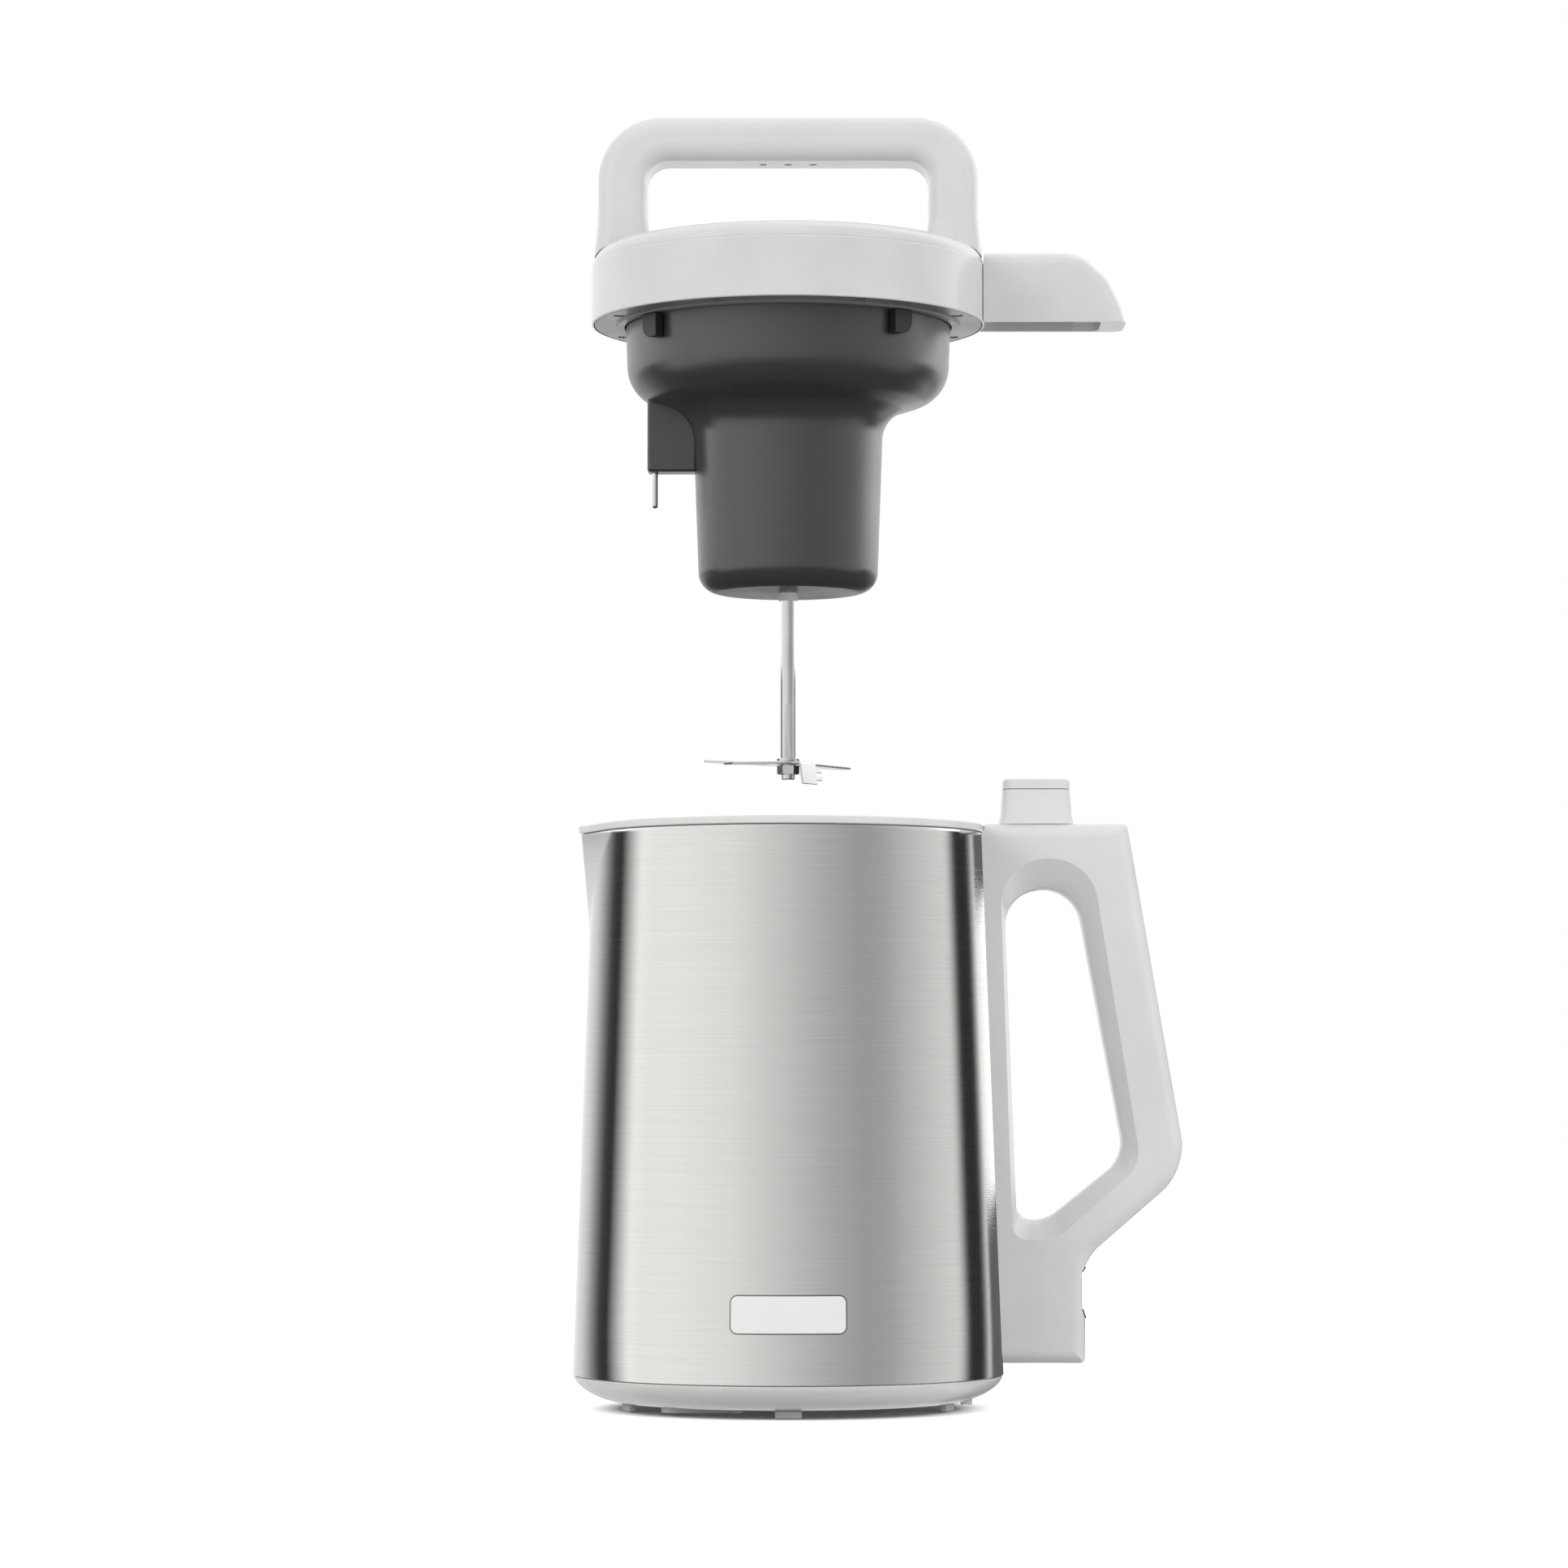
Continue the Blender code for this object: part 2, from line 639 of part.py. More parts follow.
def make_inner_bowl(root, finishes):
    under = BOWL_FLOOR - BOWL_WALL
    centre = (BOWL_FLOOR_RADIUS - BOWL_CORNER, under + BOWL_CORNER)
    sides = [(bowl_radius(level), level) for level in spout_heights(STEEL_TOP)]
    outside = [(0, under)] + arc(centre, BOWL_CORNER, -math.pi / 2, 0, EDGE_STEPS) + sides
    inner_sides = [(radius - BOWL_WALL, level) for radius, level in reversed(sides)]
    inside = arc(centre, BOWL_CORNER - BOWL_WALL, 0, -math.pi / 2, EDGE_STEPS) + [(0, BOWL_FLOOR)]
    piece("inner_bowl", spouted(outside + inner_sides + inside), finishes["bright"], root)


def make_base_cover(root, finishes):
    top = SEAM_HEIGHT - GAP
    lip = JUG_BASE_RADIUS - BASE_LIP
    flat = lip - BASE_CURVE_WIDTH
    spigot = jug_radius(SEAM_HEIGHT + SPIGOT_HEIGHT) - STEEL_WALL - GAP
    inner = spigot - SPIGOT_WALL
    floor = FOOT_HEIGHT + BASE_WALL
    angles = [math.pi / 2 * step / BASE_CURVE_STEPS for step in range(BASE_CURVE_STEPS + 1)]
    bends = [(math.sin(a) ** BASE_CURVE_POWER, abs(math.cos(a)) ** BASE_CURVE_POWER) for a in angles]
    under = [(flat + (lip - flat) * across, top - (top - FOOT_HEIGHT) * down) for across, down in bends]
    over = [(flat + (inner - flat) * across, top - (top - floor) * down) for across, down in bends[::2]]
    collar = [(spigot, top), (spigot, SEAM_HEIGHT + SPIGOT_HEIGHT), (inner, SEAM_HEIGHT + SPIGOT_HEIGHT)]
    section = [(0, FOOT_HEIGHT)] + under + collar + over[::-1] + [(0, floor)]
    base = piece("base_cover", turned(section), finishes["white"], root)
    inside_wall = FOOT_HEIGHT + BASE_WALL / 2
    pad = box_corners(PAD_LENGTH, PAD_WIDTH, PAD_CORNER)
    bm = slab(pad, FOOT_HEIGHT - PAD_HEIGHT, inside_wall, "plan")
    combine(base, bm, "UNION", "label_pad", [share * JUG_BASE_RADIUS for share in PAD_PLACE_SHARES] + [0])
    boss = box_corners(BOSS_LENGTH, BOSS_WIDTH, BOSS_CORNER)
    bm = slab(boss, FOOT_HEIGHT - BOSS_HEIGHT, inside_wall, "plan")
    combine(base, bm, "UNION", "boss", [share * JUG_BASE_RADIUS for share in BOSS_PLACE_SHARES] + [0])


def make_feet(root, finishes):
    """Short rubber feet, evenly spaced round the base from the front."""
    radius = JUG_BASE_RADIUS - FOOT_INSET
    for number in range(FOOT_COUNT):
        angle = FOOT_FIRST_ANGLE + math.tau * number / FOOT_COUNT
        place = (radius * math.cos(angle), radius * math.sin(angle), 0)
        foot = box_corners(FOOT_WIDTH, FOOT_LENGTH, FOOT_CORNER)
        bm = slab(foot, 0, FOOT_HEIGHT - GAP, "plan", steps=PLAIN_CORNER_STEPS)
        piece(f"foot_{number + 1}", bm, finishes["rubber"], root, place, angle)


def make_heater(root, finishes):
    """The plate under the bowl's floor, with its element, thermostat and thermal fuse."""
    top = BOWL_FLOOR - BOWL_WALL - GAP
    low = top - HEATER_PLATE_HEIGHT
    radius = BOWL_FLOOR_RADIUS - HEATER_PLATE_INSET
    section = [(0, top), (radius - HEATER_EDGE, top), (radius, top - HEATER_EDGE), (radius, low), (0, low)]
    piece("heater_plate", turned(section, SMALL_STEPS), finishes["aluminium"], root)
    make_element(root, finishes, radius - ELEMENT_RING_INSET, low - GAP - ELEMENT_RADIUS)
    seat = low - GAP
    brim = THERMOSTAT_RADIUS + THERMOSTAT_FLANGE
    brim_low = seat - THERMOSTAT_FLANGE_HEIGHT
    bottom = seat - THERMOSTAT_HEIGHT
    section = [(0, seat), (brim, seat), (brim, brim_low), (THERMOSTAT_RADIUS, brim_low)]
    section += [(THERMOSTAT_RADIUS, bottom), (0, bottom)]
    piece("thermostat", turned(section, SMALL_STEPS), finishes["insulator"], root)
    fuse = box_corners(FUSE_LENGTH, FUSE_WIDTH, FUSE_CORNER)
    bm = slab(fuse, seat - FUSE_HEIGHT, seat, "plan", steps=PLAIN_CORNER_STEPS)
    piece("thermal_fuse", bm, finishes["nylon"], root, (0, FUSE_OFFSET, 0))


def make_element(root, finishes, ring_radius, height):
    """The tubular element, bent round to a C whose ends face the handle."""
    path = arc((0, 0), ring_radius, ELEMENT_HALF_GAP, math.tau - ELEMENT_HALF_GAP, ELEMENT_POINTS)
    curve = bpy.data.curves.new("heating_element", "CURVE")
    curve.dimensions = "3D"
    curve.bevel_depth = ELEMENT_RADIUS
    curve.bevel_resolution = ELEMENT_RESOLUTION
    curve.use_fill_caps = True
    curve.materials.append(finishes["element"])
    spline = curve.splines.new("POLY")
    spline.points.add(len(path) - 1)
    for point, place in zip(spline.points, path):
        point.co = (*place, 0, 1)
    element = bpy.data.objects.new("heating_element", curve)
    bpy.context.scene.collection.objects.link(element)
    element.parent = root
    element.location.z = height


def at_wall(depth, height, radius):
    """A corner that stands a depth out from the steel wall."""
    return (jug_radius(height) + depth, height, radius)


def handle_corners():
    return [
        at_wall(-HANDLE_SINK, HANDLE_BOTTOM, 0),
        at_wall(HANDLE_FACE_DEPTH, HANDLE_BOTTOM, HANDLE_BOTTOM_CORNER),
        at_wall(HANDLE_ROOT_DEPTH, HANDLE_ROOT_HEIGHT, HANDLE_ROOT_CORNER),
        at_wall(HANDLE_ELBOW_DEPTH, HANDLE_ELBOW_HEIGHT, HANDLE_ELBOW_CORNER),
        at_wall(HANDLE_TOP_DEPTH, HANDLE_TOP, HANDLE_TOP_CORNER),
        at_wall(-HANDLE_SINK, HANDLE_TOP, 0),
    ]


def grip_corners():
    """The finger opening in the middle of the handle."""
    return [
        at_wall(GRIP_WALL, GRIP_BOTTOM, GRIP_HEEL_CORNER),
        at_wall(GRIP_WALL + GRIP_BOTTOM_LENGTH, GRIP_BOTTOM, GRIP_TOE_CORNER),
        at_wall(GRIP_ELBOW_DEPTH, GRIP_ELBOW_HEIGHT, GRIP_ELBOW_CORNER),
        at_wall(GRIP_WALL + GRIP_TOP_LENGTH, GRIP_TOP, GRIP_ARCH_CORNER),
        at_wall(GRIP_WALL, GRIP_TOP, GRIP_ARCH_CORNER),
    ]


def flare_corners():
    """The opening's wider outline at the handle's faces: scooped above and below, least towards the jug."""
    shifts = [
        (-FLARE_WALL, -FLARE_BOTTOM),
        (FLARE_SIDE / 2, -FLARE_BOTTOM),
        (FLARE_SIDE, -FLARE_SIDE / 2),
        (FLARE_SIDE, FLARE_TOP),
        (-FLARE_WALL, FLARE_TOP),
    ]
    corners = [(x + out, z + up, radius) for (x, z, radius), (out, up) in zip(grip_corners(), shifts)]
    return corners[:-2] + [(x, z, FLARE_ARCH_CORNER) for x, z, _ in corners[-2:]]


def grip_cutter():
    face, middle = HANDLE_HALF_WIDTH, HANDLE_HALF_WIDTH - FLARE_DEPTH
    wide, narrow = outline(flare_corners()), outline(grip_corners())
    past = face + OVERRUN
    layers = [(-past, wide), (-face, wide), (-middle, narrow), (middle, narrow), (face, wide), (past, wide)]
    return lofted(layers, "front")


def jug_seat():
    """The jug's outside with a gap round it, which shapes the handle's inner side."""
    low = SEAM_HEIGHT - OVERRUN
    wall = jug_radius(STEEL_TOP) + GAP
    rim = RIM_RADIUS + GAP
    high = RIM_TOP + OVERRUN
    section = [(0, low), (jug_radius(low) + GAP, low), (wall, STEEL_TOP)]
    section += [(rim, STEEL_TOP), (rim, high), (0, high)]
    return turned(section, WALL_STEPS)


def end_cap_corners():
    inner = jug_radius(HANDLE_BOTTOM) + END_CAP_MARGIN
    outer = jug_radius(HANDLE_BOTTOM) + HANDLE_FACE_DEPTH - END_CAP_MARGIN
    width = 2 * (HANDLE_HALF_WIDTH - END_CAP_MARGIN)
    return box_corners(outer - inner, width, END_CAP_CORNER, (outer + inner) / 2)


def trough_floor():
    """How far out the floor of the trough stands, which is also the inlet's face."""
    return jug_radius(HANDLE_BOTTOM) + HANDLE_FACE_DEPTH - TROUGH_DEPTH


def trough_cutter():
    """The shallow trough with slanting ends that runs across the handle's lower face."""
    floor = trough_floor()
    low = TROUGH_CENTRE_HEIGHT - TROUGH_HEIGHT / 2
    high = TROUGH_CENTRE_HEIGHT + TROUGH_HEIGHT / 2
    corners = [
        (floor, low, LEAST_CORNER),
        (floor + OVERRUN, low - OVERRUN * TROUGH_LOW_SPREAD, LEAST_CORNER),
        (floor + OVERRUN, high + OVERRUN * TROUGH_TOP_SPREAD, LEAST_CORNER),
        (floor, high, LEAST_CORNER),
    ]
    past = HANDLE_HALF_WIDTH + OVERRUN
    return slab(corners, -past, past, "front", steps=1)


def inlet_corners():
    return box_corners(INLET_WIDTH, INLET_HEIGHT, INLET_CORNER, up=TROUGH_CENTRE_HEIGHT)


def make_handle(root, finishes):
    bm = soft_slab(handle_corners(), HANDLE_HALF_WIDTH, HANDLE_EDGE, "front")
    handle = piece("jug_handle", bm, finishes["white"], root)
    combine(handle, grip_cutter(), "DIFFERENCE", "grip_opening")
    combine(handle, jug_seat(), "DIFFERENCE", "jug_seat")
    combine(handle, trough_cutter(), "DIFFERENCE", "trough")
    floor = trough_floor()
    bm = slab(inlet_corners(), floor - INLET_DEPTH - GAP, floor + OVERRUN, "side", GAP)
    combine(handle, bm, "DIFFERENCE", "inlet_pocket")
    cap_low = HANDLE_BOTTOM + END_CAP_RECESS
    cap_top = cap_low + END_CAP_HEIGHT
    bm = slab(end_cap_corners(), HANDLE_BOTTOM - OVERRUN, cap_top + GAP, "plan", GAP)
    combine(handle, bm, "DIFFERENCE", "cap_recess")
    bm = slab(end_cap_corners(), cap_low, cap_top, "plan")
    piece("handle_end_cap", bm, finishes["white"], root)


def make_inlet(root, finishes):
    """The mains inlet: a shrouded socket with its long side across the handle, and three flat pins."""
    face = trough_floor()
    bm = slab(inlet_corners(), face - INLET_DEPTH, face, "side")
    inlet = piece("mains_inlet", bm, finishes["white"], root)
    floor = face - INLET_DEPTH + INLET_FLOOR
    combine(inlet, slab(inlet_corners(), floor, face + OVERRUN, "side", -INLET_WALL), "DIFFERENCE", "socket")
    low = floor + GAP
    places = {"live": (-PIN_SPACING, -1), "neutral": (PIN_SPACING, -1), "earth": (0, 1)}
    for name, (across, side) in places.items():
        up = TROUGH_CENTRE_HEIGHT + side * EARTH_OFFSET / 2
        pin = box_corners(PIN_THICKNESS, PIN_WIDTH, LEAST_CORNER, across, up)
        piece(f"inlet_pin_{name}", slab(pin, low, low + PIN_LENGTH, "side", steps=1), finishes["brass"], root)


def post_corners():
    centre = jug_radius(HANDLE_TOP) + POST_SETBACK + POST_LENGTH / 2
    return box_corners(POST_LENGTH, POST_WIDTH, POST_CORNER, centre)


def contact_places():
    """Where the contacts stand, in a row along the post."""
    centre = jug_radius(HANDLE_TOP) + POST_SETBACK + POST_LENGTH / 2
    return [centre + SOCKET_SPACING * (number - (CONTACT_COUNT - 1) / 2) for number in range(CONTACT_COUNT)]


def make_post(root, finishes):
    """The plug-in post on the handle: a hollow post, its cap and the sockets inside."""
    bottom, top = HANDLE_TOP + GAP, HANDLE_TOP + POST_HEIGHT
    layers = [(bottom, POST_FLARE + POST_DRAFT), (bottom + POST_FLARE_HEIGHT, POST_DRAFT), (top, 0)]
    bm = stepped(post_corners(), layers, "plan", EDGE_STEPS)
    post = piece("connector_post", bm, finishes["white"], root)
    floor = bottom + POST_FLOOR
    bm = slab(post_corners(), floor, top + OVERRUN, "plan", -POST_WALL, EDGE_STEPS)
    combine(post, bm, "DIFFERENCE", "post_hollow")
    cap_low = top + GAP
    cap_top = cap_low + POST_CAP_HEIGHT
    layers = [(cap_low, 0), (cap_top - POST_CAP_EDGE, 0), (cap_top, -POST_CAP_EDGE)]
    cap = piece("post_cap", stepped(post_corners(), layers, "plan", EDGE_STEPS), finishes["white"], root)
    bore = CONTACT_PIN_RADIUS + PLUG_GAP
    low = floor + GAP
    high = top - GAP
    for number, across in enumerate(contact_places(), start=1):
        hole = disc(bore, cap_low - OVERRUN, cap_top + OVERRUN, TINY_STEPS)
        combine(cap, hole, "DIFFERENCE", f"pin_hole_{number}", (across, 0, 0))
        cup = [(0, low), (SOCKET_RADIUS, low), (SOCKET_RADIUS, high), (bore, high)]
        cup += [(bore, low + SOCKET_FLOOR), (0, low + SOCKET_FLOOR)]
        piece(f"post_socket_{number}", turned(cup, TINY_STEPS), finishes["brass"], root, (across, 0, 0))


def flange_hole():
    return COLLAR_RADIUS + GAP


def flange_radius():
    return BAND_RADIUS - FLANGE_MARGIN - GAP


def make_lid_band(head, finishes):
    """The lid's outer wall, with a rebate that holds the flange plate."""
    inner = BAND_RADIUS - BAND_WALL
    rebate = flange_radius() + GAP
    ledge = FLANGE_HEIGHT + GAP
    section = [
        (BAND_RADIUS, BAND_HEIGHT),
        (BAND_RADIUS, BAND_EDGE),
        (BAND_RADIUS - BAND_EDGE / 2, 0),
        (rebate, 0),
        (rebate, ledge),
        (inner, ledge),
        (inner, BAND_HEIGHT),
    ]
    piece("lid_band", turned(section, closed=True), finishes["band"], head)


def lid_profile(inset, shoulder_steps):
    """The lid's top from its edge to its middle: a round shoulder and a low crown."""
    low = BAND_HEIGHT + GAP
    flat = BAND_RADIUS - LID_SHOULDER
    width = LID_SHOULDER - inset
    height = LID_SHOULDER_HEIGHT - inset
    angles = [math.pi / 2 * step / shoulder_steps for step in range(shoulder_steps + 1)]
    shoulder = [(flat + width * math.cos(a), low + height * math.sin(a)) for a in angles]
    shares = [1 - step / LID_CROWN_STEPS for step in range(1, LID_CROWN_STEPS + 1)]
    crown = [(flat * share, low + height + LID_CROWN * (1 - share * share)) for share in shares]
    return shoulder + crown


def make_lid_top(head, finishes):
    outside = lid_profile(0, LID_CURVE_STEPS)
    inside = lid_profile(LID_WALL, LID_CURVE_STEPS // 2)
    piece("lid_top", turned(outside[::-1] + inside), finishes["band"], head)


def make_flange(head, finishes):
    """The plate under the lid, with a ridge that centres it in the jug's mouth, and the housing's gasket."""
    hole = flange_hole()
    ridge = hole + FLANGE_RIDGE
    section = [
        (flange_radius(), FLANGE_HEIGHT),
        (flange_radius(), 0),
        (ridge, 0),
        (ridge, -FLANGE_RIDGE_HEIGHT),
        (hole, -FLANGE_RIDGE_HEIGHT),
        (hole, FLANGE_HEIGHT),
    ]
    piece("flange_plate", turned(section, closed=True), finishes["grey"], head)
    low = FLANGE_HEIGHT + GAP
    bm = tube(hole + GASKET_WIDTH, hole, low, low + GASKET_HEIGHT)
    piece("housing_gasket", bm, finishes["seal"], head)


def shelf_height(across):
    """Height of the sloping shelf's outside between the collar and the barrel."""
    centre = COLLAR_RADIUS - COLLAR_TAPER - COLLAR_CORNER
    start = centre + COLLAR_CORNER * math.sin(SHELF_SLOPE)
    depth = COLLAR_DEPTH + COLLAR_CORNER * math.cos(SHELF_SLOPE)
    return (across - start) * math.tan(SHELF_SLOPE) - depth


def housing_side(inset, steps):
    """The housing's side from collar to bottom: corner, sloping shelf, fillet, barrel and lower corner."""
    collar = COLLAR_RADIUS - COLLAR_TAPER
    upper = (collar - COLLAR_CORNER, -COLLAR_DEPTH)
    fillet_across = BARREL_RADIUS + SHELF_FILLET
    fillet = (fillet_across, shelf_height(fillet_across) - SHELF_FILLET / math.cos(SHELF_SLOPE))
    lower = (BARREL_END_RADIUS - BARREL_CORNER, BARREL_CORNER - HOUSING_DEPTH)
    turn = math.pi / 2 - SHELF_SLOPE
    points = arc(upper, COLLAR_CORNER - inset, 0, -turn, steps)
    points += arc(fillet, SHELF_FILLET + inset, math.pi - turn, math.pi, steps)
    return points + arc(lower, BARREL_CORNER - inset, 0, -math.pi / 2, steps)


def bush_radius():
    return SHAFT_RADIUS + RUNNING_GAP + BUSH_WALL


def make_housing(head, finishes):
    """The moulded motor housing: a stepped cup with the level sensor's fin on its spout side."""
    lip_low = FLANGE_HEIGHT + GASKET_HEIGHT + 2 * GAP
    lip_top = lip_low + HOUSING_LIP_HEIGHT
    lip = COLLAR_RADIUS + HOUSING_LIP
    hole = bush_radius() + GAP
    outside = [(lip, lip_top), (lip, lip_low), (COLLAR_RADIUS, lip_low)] + housing_side(0, SHELF_STEPS)
    inside = housing_side(HOUSING_WALL, INNER_SHELF_STEPS)[::-1] + [(COLLAR_RADIUS - HOUSING_WALL, lip_top)]
    floor = [(hole, -HOUSING_DEPTH), (hole, HOUSING_WALL - HOUSING_DEPTH)]
    housing = piece("motor_housing", turned(outside + floor + inside, closed=True), finishes["dark"], head)
    root = BARREL_RADIUS - HOUSING_WALL / 2
    reach = BARREL_RADIUS + FIN_REACH
    sink = HOUSING_WALL / 2 / math.cos(SHELF_SLOPE)
    corners = [
        (root, -FIN_BOTTOM, 0),
        (reach, -FIN_BOTTOM, FIN_CORNER),
        (reach, shelf_height(reach) + sink, 0),
        (root, shelf_height(root) + sink, SHELF_FILLET + HOUSING_WALL / 2),
    ]
    bm = soft_slab(corners, FIN_HALF_WIDTH, FIN_EDGE, "front", steps=EDGE_STEPS)
    combine(housing, bm, "UNION", "sensor_fin", turn=math.pi)
    probe = PROBE_INSET - reach
    seat = disc(PROBE_RADIUS + GAP, -FIN_BOTTOM - OVERRUN, PROBE_SEAT + GAP - FIN_BOTTOM, TINY_STEPS)
    combine(housing, seat, "DIFFERENCE", "probe_seat", (probe, 0, 0))
    bottom = -FIN_BOTTOM - PROBE_LENGTH
    section = [(0, PROBE_SEAT - FIN_BOTTOM), (PROBE_RADIUS, PROBE_SEAT - FIN_BOTTOM)]
    section += [(PROBE_RADIUS, bottom + PROBE_RADIUS / 2), (PROBE_RADIUS / 2, bottom), (0, bottom)]
    piece("level_probe", turned(section, TINY_STEPS), finishes["bright"], head, (probe, 0, 0))


def make_tabs(head, finishes):
    """Two black tabs that guide the collar into the jug's mouth, rounded on their outer lower corners."""
    top = -FLANGE_RIDGE_HEIGHT - GAP
    low = top - TAB_HEIGHT
    inner = COLLAR_RADIUS + GAP
    half = TAB_WIDTH / 2
    for name, angle, outer in (("left", LEFT_TAB_ANGLE, -1), ("right", RIGHT_TAB_ANGLE, 1)):
        radii = {outer: TAB_CORNER, -outer: LEAST_CORNER}
        lower = [(-half, low, radii[-1]), (half, low, radii[1])]
        corners = lower + [(half, top, LEAST_CORNER), (-half, top, LEAST_CORNER)]
        bm = slab(corners, inner, inner + TAB_DEPTH, "side")
        piece(f"locating_tab_{name}", bm, finishes["black"], head, turn=angle)


def arm_corners():
    """The arm's side view, drawn on below its underside so that the cut there leaves a crisp edge."""
    tip = BAND_RADIUS + ARM_REACH
    nose = tip - ARM_NOSE_LENGTH
    inner = BAND_RADIUS - ARM_SINK
    bend = [(nose + ARM_NOSE_LENGTH * x, ARM_TOP * up, ARM_NOSE_CORNER) for x, up in ARM_NOSE_SHARES]
    lean = (tip - bend[0][0]) / bend[0][1]
    under = [(inner, -ARM_EDGE, 0), (tip + ARM_EDGE * lean, -ARM_EDGE, LEAST_CORNER)]
    return under + bend + [(inner, ARM_TOP, 0)]


def arm_cavity_corners():
    """The arm's hollow, which clears the post's flared foot all round."""
    length = POST_LENGTH + 2 * (POST_FLARE + POST_DRAFT + ARM_CLEARANCE)
    width = 2 * (ARM_HALF_WIDTH - ARM_WALL)
    centre = jug_radius(HANDLE_TOP) + POST_SETBACK + POST_LENGTH / 2
    return box_corners(length, width, ARM_CAVITY_CORNER, centre)


def make_arm(head, finishes):
    """The arm that reaches over the handle's post, open below, with its connector and pins inside."""
    bm = soft_slab(arm_corners(), ARM_HALF_WIDTH, ARM_EDGE, "front", steps=EDGE_STEPS)
    arm = piece("connector_arm", bm, finishes["white"], head)
    band = disc(BAND_RADIUS + GAP, -ARM_EDGE - OVERRUN, ARM_TOP + OVERRUN, ROUND_STEPS)
    combine(arm, band, "DIFFERENCE", "band_seat")
    roof = ARM_TOP - ARM_WALL
    combine(arm, slab(arm_cavity_corners(), -ARM_EDGE - OVERRUN, roof, "plan"), "DIFFERENCE", "post_hollow")
    length = 2 * (BAND_RADIUS + ARM_REACH + ARM_EDGE)
    under = box_corners(length, 2 * (ARM_HALF_WIDTH + OVERRUN), LEAST_CORNER)
    combine(arm, slab(under, -ARM_EDGE - OVERRUN, 0, "plan", steps=1), "DIFFERENCE", "underside")
    centre = jug_radius(HANDLE_TOP) + POST_SETBACK + POST_LENGTH / 2
    block = box_corners(POST_LENGTH, POST_WIDTH, CONNECTOR_CORNER, centre)
    low = roof - GAP - CONNECTOR_HEIGHT
    bm = slab(block, low, roof - GAP, "plan", -CONNECTOR_MARGIN, steps=PLAIN_CORNER_STEPS)
    piece("arm_connector", bm, finishes["insulator"], head)
    top = low - GAP
    tip = top - CONTACT_PIN_LENGTH
    radius = CONTACT_PIN_RADIUS
    section = [(0, top), (radius, top), (radius, tip + radius / 2), (radius / 2, tip), (0, tip)]
    for number, across in enumerate(contact_places(), start=1):
        piece(f"contact_pin_{number}", turned(section, TINY_STEPS), finishes["brass"], head, (across, 0, 0))


def carry_corners():
    """The carry handle's arch: two legs that flare into feet on the lid, and a level bar."""
    span = CARRY_HALF_SPAN
    inner = span - CARRY_LEG
    low = BAND_HEIGHT - OVERRUN
    under = CARRY_TOP - CARRY_BAR
    right = [
        (inner - CARRY_FOOT_TOE, low, 0),
        (span + CARRY_FOOT_FLARE, low, 0),
        (span, CARRY_FOOT_HEIGHT, CARRY_FOOT_CORNER),
        (span, CARRY_TOP, CARRY_OUTER_CORNER),
    ]
    inside = [(-inner, under, CARRY_INNER_CORNER), (inner, under, CARRY_INNER_CORNER)]
    left = [(-across, up, radius) for across, up, radius in reversed(right)]
    foot = (inner, CARRY_FOOT_HEIGHT, CARRY_FOOT_CORNER)
    return right + left + [(-foot[0], *foot[1:])] + inside + [foot]


def panel_corners():
    return box_corners(PANEL_LENGTH, PANEL_WIDTH, PANEL_CORNER)


def make_carry_handle(head, finishes):
    bm = soft_slab(carry_corners(), CARRY_HALF_WIDTH, CARRY_EDGE, "front", steps=CARRY_STEPS)
    carry = piece("carry_handle", bm, finishes["white"], head)
    lid = [(radius + GAP, height + GAP) for radius, height in lid_profile(0, LID_CURVE_STEPS)]
    lid[-1] = (0, lid[-1][1])
    low = BAND_HEIGHT - 2 * OVERRUN
    combine(carry, turned(lid[::-1] + [(lid[0][0], low), (0, low)]), "DIFFERENCE", "lid_seat")
    top = CARRY_TOP + OVERRUN
    ledge = CARRY_TOP - PANEL_SET_BACK - PANEL_THICKNESS - GAP
    floor = CARRY_TOP - POCKET_DEPTH
    layers = [(top, GAP), (ledge, GAP), (ledge, -PANEL_LEDGE), (floor, -PANEL_LEDGE)]
    combine(carry, stepped(panel_corners(), layers, "plan"), "DIFFERENCE", "panel_pocket")
    board_low = floor + GAP
    inset = -PANEL_LEDGE - BOARD_MARGIN
    bm = slab(panel_corners(), board_low, board_low + BOARD_THICKNESS, "plan", inset, PLAIN_CORNER_STEPS)
    piece("control_board", bm, finishes["board"], head)


